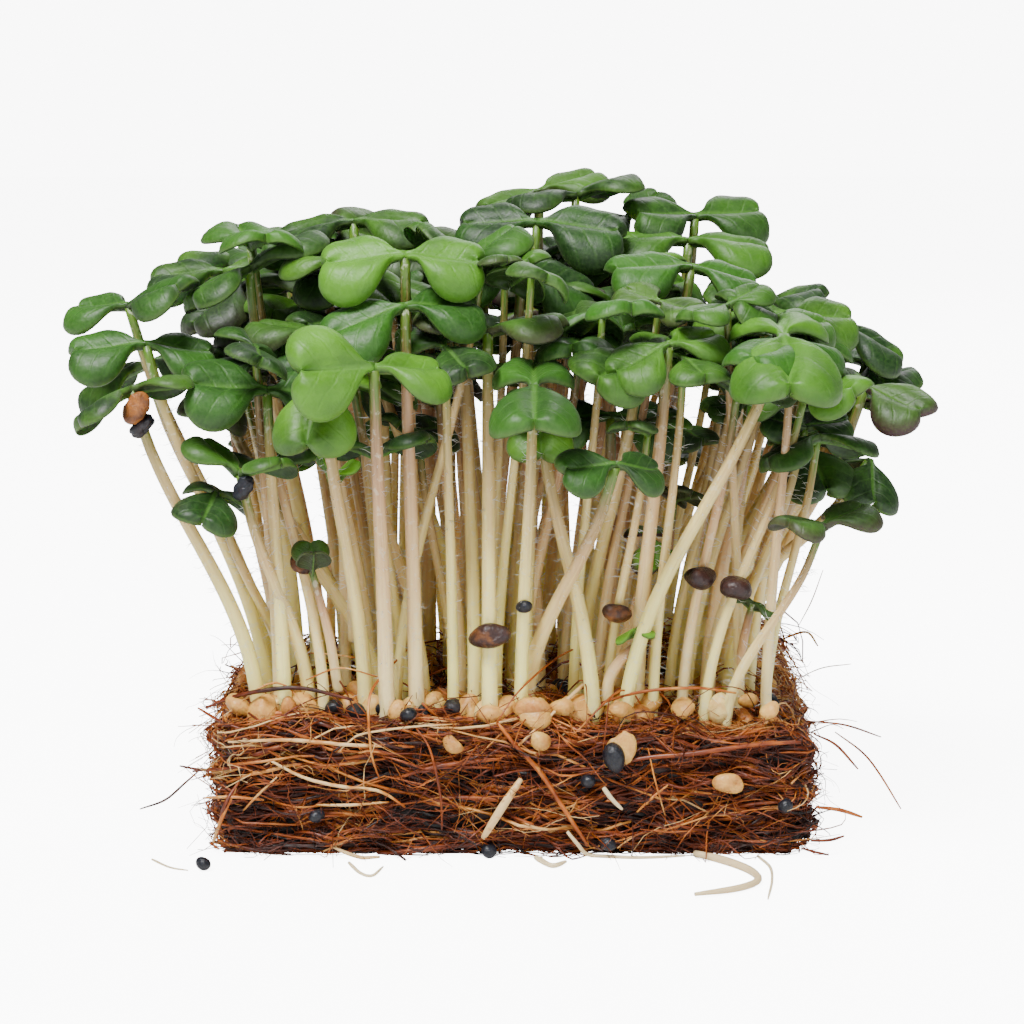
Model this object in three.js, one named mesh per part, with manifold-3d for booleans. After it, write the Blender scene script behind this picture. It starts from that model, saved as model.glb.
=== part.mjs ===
// A block of microgreens: a square cut from a mat of coir fibre, with radish and mustard seedlings
// growing out of it in tufts. +X is to the right, +Y is away from the viewer and +Z is up.
// The origin is the middle of the mat's flat underside. All sizes are in millimetres and all angles in degrees.
import * as THREE from "three";
import { mergeVertices } from "three/addons/utils/BufferGeometryUtils.js";
import Module from "manifold-3d";

const wasm = await Module();
wasm.setup();

// Driving dimensions.
const mat = { width: 57, depth: 40, thickness: 13, slope: 0.0035, ripple: 0.45, grid: [10, 7, 3] };
const strand = { count: 38, radius: 0.45, sides: 3, shortest: 8, longest: 22, seed: 90210 };
const crown = { radius: 3.9, sides: 8, depth: 2.6, rise: 0.5, stemCircle: 2.6, places: 5 };
const stem = { radius: 0.82, sides: 5, steps: 4 };
const neck = { radius: 0.62, length: 3.2, sides: 4 };
const blade = { thickness: 0.7, arch: [0.10, 0.18], droop: 0.04 };
const gap = 0.3;
const plantingSeed = 38;

// The flat outline of a seed leaf at size 1, as [along the midrib, across it]: a stalk that widens into
// two round lobes with a notch between them, and three points inside that let the blade bend.
const leafOutline = [
  [0, -0.8], [2.0, -1.7], [3.9, -4.2], [6.3, -5.0], [8.1, -3.0], [6.8, 0],
  [8.1, 3.0], [6.3, 5.0], [3.9, 4.2], [2.0, 1.7], [0, 0.8],
];
const leafInside = [[4.9, -2.4], [4.9, 2.4], [2.9, 0]];
const leafTriangles = [
  [0, 1, 11], [1, 2, 11], [2, 3, 11], [3, 4, 11], [4, 5, 11],
  [5, 6, 12], [6, 7, 12], [7, 8, 12], [8, 9, 12], [9, 10, 12],
  [0, 11, 13], [11, 5, 13], [5, 12, 13], [12, 10, 13], [10, 0, 13],
];

// Where the tufts stand on the mat. The stems of a tuft spring from one crown.
const crowns = [
  [-22, -13.5], [-11.5, -14.5], [-1, -15], [9.5, -14.5],
  [-22, -3], [-12, -4.5], [-2, -5], [8, -5], [18, -6],
  [-21, 7], [-11, 5], [0, 5], [10.5, 5], [21.5, 4.5],
  [-12, 14.8], [4, 14.8], [16, 14.2],
];

// The seedlings, from the front to the back, in groups whose leaves touch. Each has the number of its tuft and
// the place where its two seed leaves meet. turn is the way that the first leaf points, counted from +X, lift is
// how far each leaf rises from level, roll leans the pair, or each leaf, about its own line and size is 1 for a
// leaf 10 mm wide.
// What a seedling leaves out is drawn at random from the planting seed.
const canopy = [
  [{ tuft: 2, tip: [-12.5, -27, 47.5], turn: 205, lift: [5, 0], roll: [-70, 20], size: 0.95 }],
  [{ tuft: 2, tip: [-17.5, -24, 46], turn: 250, lift: [-50, 10], roll: 0, size: 0.9 }],
  [{ tuft: 1, tip: [-23, -23, 45.5], turn: 190, lift: [15, 0], roll: -40, size: 0.95 }],
  [{ tuft: 1, tip: [-34.5, -21, 44], turn: 200, lift: [-25, 10], roll: 15, size: 0.75 }],
  [{ tuft: 1, tip: [-25.5, -20, 37], turn: 150, lift: [35, 20], roll: 10, size: 0.7 },
    { tuft: 2, tip: [-16.5, -18, 38], turn: 30, lift: [30, 25], roll: 0, size: 0.65 }],
  [{ tuft: 2, tip: [-9, -22, 50.5], turn: 200, lift: [-15, 5], roll: -25, size: 1 },
    { tuft: 7, tip: [-6, -12, 48], turn: 320, lift: [-30, 5], size: 0.9 }],
  [{ tuft: 3, tip: [-2.3, -20, 51], turn: 350, lift: [15, 20], roll: 0, size: 0.9 }],
  [{ tuft: 3, tip: [2, -24, 45.5], turn: 270, lift: [-15, 20], roll: 0, size: 0.95 }],
  [{ tuft: 4, tip: [3.5, -20, 42.5], turn: 275, lift: [-45, 0], roll: 0, size: 0.65 }],
  [{ tuft: 4, tip: [25, -22, 50], turn: 270, lift: [-20, 15], roll: 0, size: 1.15 }],
  [{ tuft: 4, tip: [14.5, -20, 49], turn: 215, lift: [-20, 10], roll: -20, size: 0.8 },
    { tuft: 8, tip: [19, -17, 45], turn: 235, lift: [-10, 10], roll: -30, size: 0.85 }],
  [{ tuft: 3, tip: [10.5, -25, 39.5], turn: 200, lift: [0, -10], roll: -35, size: 0.65 }],
  [{ tuft: 4, tip: [13.6, -17, 29.5], turn: 280, lift: [-45, 10], roll: 0, size: 0.5 }],
  [{ tuft: 3, tip: [-5.7, -14, 55.5], turn: 20, lift: [40, 50], roll: 0, size: 0.85 },
    { tuft: 6, tip: [-7, -7, 53.5], turn: 180, lift: [0, 0], roll: -35, size: 1 }],
  [{ tuft: 1, tip: [-35, -15, 48.5], turn: 190, lift: [0, -5], roll: -25, size: 0.9 }],
  [{ tuft: 5, tip: [-37, -10, 52], turn: 335, lift: [25, 0], roll: 20, size: 0.85 }],
  [{ tuft: 8, tip: [9.5, -12, 42.5], turn: 0, lift: [-5, 0], roll: 30, size: 0.9 }],
  [{ tuft: 5, tip: [-25.5, -8, 56.5], turn: 25, lift: [30, -20], roll: -10, size: 0.95 },
    { tuft: 5, tip: [-17, -8, 50], size: 0.9 }],
  [{ tuft: 5, tip: [-36, -5, 46], turn: 170, lift: [-20, 10], roll: -10, size: 0.95 },
    { tuft: 6, tip: [-31, -8, 45.5], turn: 230, lift: [-30, 10], size: 0.85 }],
  [{ tuft: 6, tip: [-13, -8, 54], turn: 170, lift: [10, -10], roll: -10, size: 1 }],
  [{ tuft: 7, tip: [-1, -8, 55.5], turn: 0, lift: [-20, 0], roll: 30, size: 1 },
    { tuft: 7, tip: [4.7, -8, 48], size: 0.85 }],
  [{ tuft: 8, tip: [17.5, -6, 55.5], turn: 190, lift: [5, -10], roll: -20, size: 1 },
    { tuft: 9, tip: [22, -8, 52], turn: 330, lift: [-35, 0], roll: 15, size: 1 }],
  [{ tuft: 9, tip: [29, -8, 38], turn: 280, lift: [-40, 5], size: 0.75 },
    { tuft: 9, tip: [34, -2, 31], turn: 290, lift: [-45, -20], size: 0.7 }],
  [{ tuft: 12, tip: [1.5, -3, 57.5], turn: 350, lift: [0, 5], roll: 30, size: 1.1 }],
  [{ tuft: 12, tip: [-5.5, 4, 57], turn: 200, lift: [0, 0], roll: -40, size: 1.05 }],
  [{ tuft: 13, tip: [12.5, -4, 56], turn: 235, lift: [-20, 10], roll: -25, size: 0.95 },
    { tuft: 13, tip: [7, 2, 52], turn: 10, size: 0.9 }],
  [{ tuft: 10, tip: [-26.5, 2, 53.5], turn: 215, lift: [-25, 5], roll: 0, size: 1 },
    { tuft: 10, tip: [-30, 9, 54], turn: 180, lift: [0, 10], roll: -20, size: 0.95 }],
  [{ tuft: 11, tip: [-17, 3, 56.5], turn: 175, lift: [-5, 5], roll: -15, size: 1 },
    { tuft: 11, tip: [-20, 2, 49.5], size: 0.95 }],
  [{ tuft: 15, tip: [-11.8, 9, 56.5], turn: 190, lift: [30, 0], roll: -40, size: 1 },
    { tuft: 11, tip: [-11.5, 4, 55.5], turn: 30, lift: [25, 25], size: 0.8 }],
  [{ tuft: 17, tip: [26.5, 0, 50.5], turn: 190, lift: [5, 0], roll: -30, size: 0.95 },
    { tuft: 17, tip: [27, 8, 52.5], turn: 0, lift: [20, 25], size: 0.8 }],
  [{ tuft: 9, tip: [33.5, -2, 50], turn: 170, lift: [10, -25], roll: -10, size: 1 }],
  [{ tuft: 14, tip: [34, 2, 43.5], turn: 320, lift: [-15, 10], roll: 20, size: 0.85 },
    { tuft: 14, tip: [36, 3, 37.5], turn: 300, lift: [-45, 0], size: 0.75 }],
  [{ tuft: 14, tip: [37.5, 7, 47], turn: 300, lift: [-30, 10], size: 0.8 },
    { tuft: 14, tip: [39, 8, 42.5], turn: 0, lift: [20, 0], roll: 0, size: 0.8 }],
  [{ tuft: 16, tip: [3.6, 8, 62], turn: 195, lift: [0, 20], roll: 5, size: 0.9 },
    { tuft: 16, tip: [7, 10, 61], turn: 15, lift: [20, -10], roll: 10, size: 0.9 }],
  [{ tuft: 17, tip: [18, 7, 57.5], turn: 0, lift: [0, 5], roll: 10, size: 1.05 },
    { tuft: 17, tip: [20, 15, 58.5], turn: 20, lift: [10, 10], roll: 30, size: 0.95 },
    { tuft: 13, tip: [11, 10, 50] }],
  [{ tuft: 15, tip: [-24, 15, 55] },
    { tuft: 10, tip: [-31, 15, 49.5] },
    { tuft: 15, tip: [-23, 22, 48] }],
  [{ tuft: 12, tip: [-3, 14, 52] },
    { tuft: 15, tip: [-7, 21, 51] },
    { tuft: 16, tip: [5, 22, 53] }],
  [{ tuft: 14, tip: [30, 16, 47] },
    { tuft: 17, tip: [17, 22, 51] }],
  [{ tuft: 16, tip: [12, 14, 58.5], turn: 45, lift: [35, 0], size: 0.65 }],
];

// Loose seeds and split seed coats on the mat: place, half lengths, turn and colour.
const seeds = [
  { name: "seed_pale_1", at: [20, -15.5, 13.4], half: [1.3, 1.3, 1.65], tone: "paleSeed" },
  { name: "seed_pale_2", at: [20.6, -20.6, 7.4], half: [1.5, 0.9, 1.05], tone: "paleSeed" },
  { name: "seed_coat_1", at: [10.2, -20.9, 10.5], half: [1.6, 0.9, 2.0], tone: "seedCoat" },
];

// The longest root, which has crept out from under the mat: its line over the ground.
const creepingRoot = {
  radius: 0.42, sides: 5, steps: 10,
  line: [[17.6, -18.3], [20.1, -21.9], [22.3, -25.5], [22.7, -28.9], [20.6, -31.6], [16.6, -33.6]],
};

// A repeatable draw from 0 to 1.
function drawer(seed) {
  let state = seed;
  return () => {
    state = (state * 16807) % 2147483647;
    return state / 2147483647;
  };
}

const radians = THREE.MathUtils.degToRad;

// Closed geometry to a solid that can be joined and cut, and back.
function solidOf(geometry) {
  const bare = geometry.clone();
  bare.deleteAttribute("normal");
  bare.deleteAttribute("uv");
  const merged = mergeVertices(bare, 1e-4);
  const triVerts = new Uint32Array(merged.index.array);
  return new wasm.Manifold(new wasm.Mesh({
    numProp: 3, vertProperties: merged.attributes.position.array, triVerts }));
}

function geometryOf(solid) {
  const mesh = solid.getMesh();
  const geometry = new THREE.BufferGeometry();
  geometry.setAttribute("position", new THREE.BufferAttribute(new Float32Array(mesh.vertProperties), 3));
  geometry.setIndex(new THREE.BufferAttribute(new Uint32Array(mesh.triVerts), 1));
  const faceted = geometry.toNonIndexed();
  faceted.computeVertexNormals();
  return faceted;
}

// Height of the mat's top, which dips at its right front corner and rises at its right back corner.
function matTop(x, y) {
  return mat.thickness + mat.slope * Math.max(x, 0) * y + mat.ripple * Math.sin(0.55 * x) * Math.cos(0.7 * y);
}

// How far the mat's ragged sides stand out, by place round the mat and height.
function matRagged(along, z) {
  return mat.ripple * (Math.sin(0.9 * along + 0.8 * z) + Math.cos(1.7 * z - 0.45 * along));
}

function matBlock() {
  const block = new THREE.BoxGeometry(mat.width, mat.depth, 1, ...mat.grid);
  const place = block.attributes.position;
  for (let i = 0; i < place.count; i += 1) {
    const [x, y, level] = [place.getX(i), place.getY(i), place.getZ(i) + 0.5];
    const z = level * matTop(x, y);
    const sideX = Math.abs(x) > mat.width / 2 - 0.01 ? Math.sign(x) * matRagged(y, z) : 0;
    const sideY = Math.abs(y) > mat.depth / 2 - 0.01 ? Math.sign(y) * matRagged(x, z) : 0;
    place.setXYZ(i, x + sideX, y + sideY, z);
  }
  return solidOf(block);
}

// One coir fibre, larger than life: a thin three-sided rod with a kink, centred on a place and pointing along a line.
function strandRod(centre, direction, length, kink) {
  const rod = new THREE.CylinderGeometry(strand.radius * 0.7, strand.radius, length, strand.sides, 2);
  const place = rod.attributes.position;
  for (let i = 0; i < place.count; i += 1) {
    const bend = 1 - Math.abs(place.getY(i)) / (length / 2);
    place.setX(i, place.getX(i) + kink * bend);
  }
  rod.translate(-kink, 0, 0);
  rod.applyQuaternion(new THREE.Quaternion().setFromUnitVectors(new THREE.Vector3(0, 1, 0), direction));
  rod.translate(...centre.toArray());
  return solidOf(rod);
}

// Fibres all round the mat, by a rule: mostly level, half sunk in the side they lie on, and a few on its top.
function strandRods() {
  const draw = drawer(strand.seed);
  const rods = [];
  for (let i = 0; i < strand.count; i += 1) {
    const side = i % 7;
    const length = strand.shortest + draw() * (strand.longest - strand.shortest);
    const slope = (draw() - 0.5) * 0.7;
    const kink = (draw() - 0.5) * 0.5;
    const share = draw() - 0.5;
    const z = 1.6 + draw() * (mat.thickness - 3.4);
    const centre = new THREE.Vector3();
    const direction = new THREE.Vector3();
    if (side < 4) {
      const front = side < 2 ? -1 : 1;
      const x = share * (mat.width - 3);
      centre.set(x, front * (mat.depth / 2 + matRagged(x, z)), z);
      direction.set(1, (draw() - 0.5) * 0.1, slope);
    } else if (side < 6) {
      const right = side < 5 ? -1 : 1;
      const y = share * (mat.depth - 4);
      centre.set(right * (mat.width / 2 + matRagged(y, z)), y, z);
      direction.set((draw() - 0.5) * 0.9, 1, slope);
    } else {
      const x = share * (mat.width - 8);
      const y = (draw() < 0.5 ? -1 : 1) * (mat.depth / 2 - 1.2);
      centre.set(x, y, matTop(x, y) + 0.05);
      direction.set(1, (draw() - 0.5) * 0.4, 0);
    }
    direction.normalize();
    const reach = Math.min(length, (2 * (z - strand.radius - 0.2)) / Math.max(Math.abs(direction.z), 0.05));
    rods.push(strandRod(centre, direction, reach, kink));
  }
  return rods;
}

// Bends a place on the flat leaf, [along, across, height], into the leaf as it hangs on its seedling.
function bendLeaf(leaf, along, across, height) {
  const tilt = radians(leaf.lift) - leaf.droop * along;
  const start = radians(leaf.lift);
  const reach = (Math.sin(start) - Math.sin(tilt)) / leaf.droop;
  const rise = (Math.cos(tilt) - Math.cos(start)) / leaf.droop;
  const curl = across * leaf.arch;
  const side = Math.sin(curl) / leaf.arch + height * Math.sin(curl);
  const over = (Math.cos(curl) - 1) / leaf.arch + height * Math.cos(curl);
  const forward = reach - Math.sin(tilt) * over;
  const up = rise + Math.cos(tilt) * over;
  const [turn, roll] = [radians(leaf.turn), radians(leaf.roll)];
  const ahead = new THREE.Vector3(Math.cos(turn), Math.sin(turn), 0);
  const top = new THREE.Vector3(Math.sin(turn) * Math.sin(roll), -Math.cos(turn) * Math.sin(roll), Math.cos(roll));
  const left = new THREE.Vector3().crossVectors(top, ahead);
  return ahead.multiplyScalar(forward).addScaledVector(left, side).addScaledVector(top, up);
}

// The two leaves of a seedling, opposite each other and leaning the same way.
function leavesOf(seedling) {
  return [0, 1].map((n) => ({
    turn: seedling.turn + 180 * n,
    roll: seedling.roll[n] ?? (n ? -seedling.roll : seedling.roll),
    lift: seedling.lift[n],
    arch: seedling.arch,
    droop: blade.droop,
    size: n ? seedling.size * 0.92 : seedling.size,
  }));
}

// A seedling's two leaves as one body: each has a top and an underside that match, and a rim, and the two share
// the corners where they meet.
function pairSolid({ leaves, tip }) {
  const flat = [...leafOutline, ...leafInside];
  const rim = leafOutline.length;
  const corners = leaves.map((leaf) => [0.5, -0.5].flatMap((face) => flat.map(([along, across]) =>
    bendLeaf(leaf, along * leaf.size, across * leaf.size, face * blade.thickness).add(tip))));
  for (const face of [0, flat.length]) {
    for (const [own, other] of [[0, rim - 1], [rim - 1, 0]]) {
      const shared = corners[0][face + own].clone().lerp(corners[1][face + other], 0.5);
      corners[0][face + own].copy(shared);
      corners[1][face + other].copy(shared);
    }
  }
  const under = flat.length;
  const faces = [...leafTriangles, ...leafTriangles.map(([a, b, c]) => [under + a, under + c, under + b])];
  for (let i = 0; i < rim - 1; i += 1) faces.push([i, under + i, under + i + 1], [i, under + i + 1, i + 1]);
  const both = [...faces.flat(), ...faces.flat().map((corner) => corner + 2 * under)];
  const geometry = new THREE.BufferGeometry();
  const positions = corners.flat().flatMap((v) => v.toArray());
  geometry.setAttribute("position", new THREE.Float32BufferAttribute(positions, 3));
  geometry.setIndex(both);
  return solidOf(geometry);
}

// A stem's line: straight up out of the crown, then over towards its tip.
function stemRoute(root, tip) {
  const chord = new THREE.Vector3().subVectors(tip, root);
  const rise = chord.z;
  const last = chord.clone().setZ(chord.z * 1.25).normalize();
  const top = tip.clone().addScaledVector(last, -neck.length);
  const low = root.clone().add(new THREE.Vector3(chord.x * 0.04, chord.y * 0.04, rise * 0.36));
  const high = top.clone().addScaledVector(last, -rise * 0.34);
  return { curve: new THREE.CubicBezierCurve3(root, low, high, top), last, top };
}

function tube(curve, radius, sides, steps) {
  const section = new THREE.Shape();
  for (let i = 0; i < sides; i += 1) {
    const angle = (2 * Math.PI * i) / sides;
    section[i ? "lineTo" : "moveTo"](radius * Math.cos(angle), radius * Math.sin(angle));
  }
  section.closePath();
  return new THREE.ExtrudeGeometry(section, { steps, bevelEnabled: false, extrudePath: curve, curveSegments: 1 });
}

// Places spread over a leaf, for keeping it clear of its neighbours: its corners and the middles of its edges.
const leafPlaces = (() => {
  const flat = [...leafOutline, ...leafInside];
  const middles = new Map();
  for (const [a, b, c] of leafTriangles) {
    for (const [p, q] of [[a, b], [b, c], [c, a]]) {
      const key = `${Math.min(p, q)}-${Math.max(p, q)}`;
      middles.set(key, [(flat[p][0] + flat[q][0]) / 2, (flat[p][1] + flat[q][1]) / 2]);
    }
  }
  return [...flat, ...middles.values()];
})();

// Where leaves of one group may touch: just inside the rim of one, on the face of the other.
const rimPlaces = leafOutline.slice(1, -1).map(([along, across]) => [along * 0.97, across * 0.95]);
const lobePlaces = [[3.4, 1.6], [4.2, 2.6], [5.2, 3.6], [6.4, 3.0], [5.8, 1.5], [4.6, 3.9]];
const facePlaces = lobePlaces.flatMap(([along, across]) => [[along, -across], [along, across]]);

// All that a seedling takes up when its leaves meet at a tip: places on its leaves and along its stem.
function growAt(seedling, tip) {
  const { curve, last, top } = stemRoute(seedling.root, tip);
  const leaves = leavesOf(seedling);
  const green = leaves.flatMap((leaf) => leafPlaces.map(([along, across]) =>
    bendLeaf(leaf, along * leaf.size, across * leaf.size, 0).add(tip)));
  green.push(tip.clone().addScaledVector(last, -neck.length / 2));
  const pale = [];
  for (let i = 1; i <= 26; i += 1) pale.push(curve.getPoint(i / 26));
  green.box = new THREE.Box3().setFromPoints(green);
  pale.box = new THREE.Box3().setFromPoints(pale);
  return { ...seedling, tip, curve, last, top, leaves, green, pale };
}

// The least room between the middles of two leaves, of a stem and a leaf, and of two stems.
const room = { leaves: 1.15, leavesThatTouch: 0.8, stemAndLeaf: 1.6, ownStemAndLeaf: 1.45, stems: 2.2, touching: 3 };

function apart(some, others, least, contact) {
  const reach = some.box.clone().expandByScalar(least);
  if (!reach.intersectsBox(others.box)) return true;
  const near = others.filter((q) => reach.containsPoint(q));
  const free = contact ? some.filter((p) => p.distanceTo(contact) > room.touching) : some;
  return free.every((p) => near.every((q) => p.distanceToSquared(q) > least * least));
}

function isClear(grown, placed, contact) {
  if (!apart(grown.green, grown.pale, room.ownStemAndLeaf)) return false;
  return placed.every((other) => {
    const kin = other.group === grown.group;
    return apart(grown.green, other.green, kin ? room.leavesThatTouch : room.leaves, kin ? contact : null)
      && apart(grown.green, other.pale, room.stemAndLeaf)
      && apart(grown.pale, other.green, room.stemAndLeaf)
      && (other.tuft === grown.tuft || apart(grown.pale, other.pale, room.stems));
  });
}

// How far a tip is from the one asked for. Moving it along the depth of the clump counts for less.
function strayed(tip, target) {
  const [x, y, z] = [tip.x - target.x, tip.y - target.y, tip.z - target.z];
  return x * x + (y * target.y > 0 ? 0.7 : 0.2) * y * y + z * z;
}

// The clump's own outline, which is domed: no tip stands outside it.
function isInside(tip) {
  const dome = 63 - 0.0075 * tip.x * tip.x - 0.012 * Math.max(tip.y - 10, 0) ** 2;
  return tip.z < dome && Math.abs(tip.x) < 40 && Math.abs(tip.y) < 28;
}

// Tips near the one asked for, nearest first.
function freeTips(target) {
  const tips = [];
  for (let back = -10; back <= 10; back += 1) {
    for (let up = -4; up <= 4; up += 1) {
      for (let right = -4; right <= 4; right += 1) {
        const tip = new THREE.Vector3(right, back, up).add(target);
        tips.push({ tip, far: strayed(tip, target), contact: null });
      }
    }
  }
  return tips.filter(({ tip }) => isInside(tip)).sort((a, b) => a.far - b.far);
}

// Tips at which a leaf of this seedling touches a leaf of its group, nearest to the one asked for first.
function touchingTips(seedling, kin, target) {
  const at = (leaf, [along, across]) => bendLeaf(leaf, along * leaf.size, across * leaf.size, 0);
  const tips = [];
  for (const other of kin) {
    for (const theirs of other.leaves) {
      for (const own of leavesOf(seedling)) {
        for (const [theirPlaces, ownPlaces] of [[facePlaces, rimPlaces], [rimPlaces, facePlaces]]) {
          for (const theirPlace of theirPlaces) {
            const contact = at(theirs, theirPlace).add(other.tip);
            for (const ownPlace of ownPlaces) {
              const tip = contact.clone().sub(at(own, ownPlace));
              tips.push({ tip, far: strayed(tip, target), contact });
            }
          }
        }
      }
    }
  }
  return tips.filter(({ tip, far }) => isInside(tip) && far < 196).sort((a, b) => a.far - b.far);
}

// Ways to ease a seedling that finds no room: turned a little, then lifted less, then smaller.
const easings = [[0, 1, 1], [12, 1, 1], [-12, 1, 1], [25, 0.8, 0.95], [-25, 0.8, 0.95], [50, 0.5, 0.9],
  [-50, 0.5, 0.9], [90, 0.3, 0.85], [0, 0, 0.75]];

// The first seedling of every group, then the second and the third ones, which lean on them.
function plantingOrder() {
  const all = canopy.flatMap((members, group) => members.map((plan, member) => ({ plan, group, member })));
  return all.sort((a, b) => a.member - b.member || a.group - b.group);
}

// Grows the whole plan in order. A seedling that would cross another is bent clear, to the nearest tip that is free.
function growAll() {
  const draw = drawer(plantingSeed);
  const placed = [];
  const free = crowns.map(() => Array.from({ length: crown.places }, (_, place) => place));
  for (const { plan, group } of plantingOrder()) {
    const drawn = { turn: 360 * draw(), lift: [30 * draw() - 8, 30 * draw() - 8], roll: 50 * draw() - 25,
      size: 0.88 + 0.2 * draw(), arch: blade.arch[0] + (blade.arch[1] - blade.arch[0]) * draw() };
    const at = crowns[plan.tuft - 1];
    const target = new THREE.Vector3(...plan.tip);
    const heading = Math.atan2(target.y - at[1], target.x - at[0]);
    const angleOf = (place) => (2 * Math.PI * place) / crown.places + plan.tuft;
    const facing = (place) => -Math.cos(angleOf(place) - heading);
    const places = free[plan.tuft - 1].sort((a, b) => facing(a) - facing(b));
    const angle = angleOf(places.shift());
    const root = new THREE.Vector3(at[0] + crown.stemCircle * Math.cos(angle),
      at[1] + crown.stemCircle * Math.sin(angle), matTop(...at) + crown.rise - 1);
    const kin = placed.filter((other) => other.group === group);
    for (const [turned, lifted, sized] of easings) {
      const seedling = { ...drawn, ...plan, root, group };
      seedling.turn += turned;
      seedling.lift = seedling.lift.map((lift) => lift * lifted);
      seedling.size *= sized;
      const tips = kin.length ? touchingTips(seedling, kin, target) : freeTips(target);
      const found = tips.find(({ tip, contact }) => isClear(growAt(seedling, tip), placed, contact));
      if (found) {
        placed.push(growAt(seedling, found.tip));
        break;
      }
    }
  }
  return placed;
}

function crownSolid(at) {
  const top = matTop(...at) + crown.rise;
  const mound = new THREE.CylinderGeometry(crown.radius * 0.9, crown.radius, crown.depth + crown.rise, crown.sides);
  mound.rotateX(Math.PI / 2);
  mound.translate(at[0], at[1], top - (crown.depth + crown.rise) / 2);
  return solidOf(mound);
}

function pitSolid(at) {
  const floor = matTop(...at) - crown.depth - gap;
  const pit = new THREE.CylinderGeometry(crown.radius + gap, crown.radius + gap, 9, crown.sides);
  pit.rotateX(Math.PI / 2);
  pit.translate(at[0], at[1], floor + 4.5);
  return solidOf(pit);
}

function seedSolid({ at, half }) {
  const kernel = new THREE.SphereGeometry(1, 7, 5);
  kernel.scale(...half);
  kernel.translate(...at);
  return solidOf(kernel);
}

function rootSolid({ radius, sides, steps, line }) {
  const places = line.map(([x, y]) => new THREE.Vector3(x, y, radius));
  return solidOf(tube(new THREE.CatmullRomCurve3(places), radius, sides, steps));
}

function neckSolid({ tip, top, last }) {
  const start = top.clone().addScaledVector(last, gap);
  return solidOf(tube(new THREE.LineCurve3(start, tip.clone().addScaledVector(last, 0.1)), neck.radius, neck.sides, 1));
}

const colours = {
  coir: { color: 0x6e3216, roughness: 0.9 },
  stem: { color: 0xd8d2a6, roughness: 0.5 },
  leaf: { color: 0x4d9438, roughness: 0.55 },
  paleSeed: { color: 0xdca858, roughness: 0.45 },
  seedCoat: { color: 0x4a2a1e, roughness: 0.6 },
};

function namedMesh(name, tone, solid) {
  const material = new THREE.MeshStandardMaterial({ ...colours[tone], metalness: 0 });
  const mesh = new THREE.Mesh(geometryOf(solid), material);
  mesh.name = name;
  return mesh;
}

const join = (solids) => wasm.Manifold.union(solids);

const block = new THREE.Group();
const pits = [...crowns.map(pitSolid), ...seeds.map(({ at, half }) =>
  seedSolid({ at, half: half.map((size) => size + gap) }))];
const cutMat = join([matBlock(), ...strandRods(), rootSolid(creepingRoot)]).subtract(join(pits));
const wholeMat = cutMat.decompose().reduce((most, piece) => (piece.volume() > most.volume() ? piece : most));
block.add(namedMesh("coir_mat", "coir", wholeMat));

const grown = growAll();
const numbered = (index) => String(index + 1).padStart(2, "0");
crowns.forEach((at, index) => {
  const members = grown.filter(({ tuft }) => tuft === index + 1);
  const stems = members.map(({ curve }) => solidOf(tube(curve, stem.radius, stem.sides, stem.steps)));
  block.add(namedMesh(`tuft_${numbered(index)}_stems`, "stem", join([crownSolid(at), ...stems])));
});
canopy.forEach((_, index) => {
  const members = grown.filter(({ group }) => group === index);
  const leaves = members.flatMap((seedling) => [neckSolid(seedling), pairSolid(seedling)]);
  block.add(namedMesh(`leaves_${numbered(index)}`, "leaf", join(leaves)));
});

for (const seed of seeds) block.add(namedMesh(seed.name, seed.tone, seedSolid(seed)));

export default block;
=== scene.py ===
import math

import bpy
import numpy as np
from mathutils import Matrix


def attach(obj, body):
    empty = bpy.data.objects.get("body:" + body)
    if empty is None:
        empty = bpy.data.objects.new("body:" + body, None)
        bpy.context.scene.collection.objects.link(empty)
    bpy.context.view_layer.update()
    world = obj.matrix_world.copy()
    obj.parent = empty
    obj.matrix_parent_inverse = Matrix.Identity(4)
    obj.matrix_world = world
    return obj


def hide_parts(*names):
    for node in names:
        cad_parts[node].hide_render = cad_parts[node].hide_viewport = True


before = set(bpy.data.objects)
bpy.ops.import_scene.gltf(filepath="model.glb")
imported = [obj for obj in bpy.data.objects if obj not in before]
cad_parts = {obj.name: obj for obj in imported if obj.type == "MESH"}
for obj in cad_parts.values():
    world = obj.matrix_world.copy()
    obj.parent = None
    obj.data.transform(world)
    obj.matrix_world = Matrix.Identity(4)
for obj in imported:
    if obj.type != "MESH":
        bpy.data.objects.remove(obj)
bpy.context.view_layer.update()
mm = 0.001  # the plan below is in millimetres, Blender is in metres
print("frame loaded")

# camera, first of all: level with the leaves and tipped down onto the mat
photoCamera = {"place": (0, -280, 70), "tip": 8.05, "lens": 98.44, "sensor": 36, "pixels": 1024}

cameraData = bpy.data.cameras.new("photoCamera")
cameraData.lens = photoCamera["lens"]
cameraData.sensor_width = photoCamera["sensor"]
cameraData.clip_start, cameraData.clip_end = 0.01, 20
cameraObject = bpy.data.objects.new("photoCamera", cameraData)
cameraObject.location = [c * mm for c in photoCamera["place"]]
cameraObject.rotation_euler = (math.radians(90 - photoCamera["tip"]), 0, 0)
bpy.context.scene.collection.objects.link(cameraObject)
bpy.context.scene.camera = cameraObject


# ---- helpers for shaping and copying ----

def deselectAll():
    if bpy.context.object and bpy.context.object.mode != "OBJECT":
        bpy.ops.object.mode_set(mode="OBJECT")
    bpy.ops.object.select_all(action="DESELECT")


def pointsOf(thing):
    points = np.zeros(len(thing.data.vertices) * 3)
    thing.data.vertices.foreach_get("co", points)
    return points.reshape(-1, 3)


def movePoints(thing, points):
    thing.data.vertices.foreach_set("co", np.ascontiguousarray(points, dtype=np.float32).ravel())
    thing.data.update()


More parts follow.
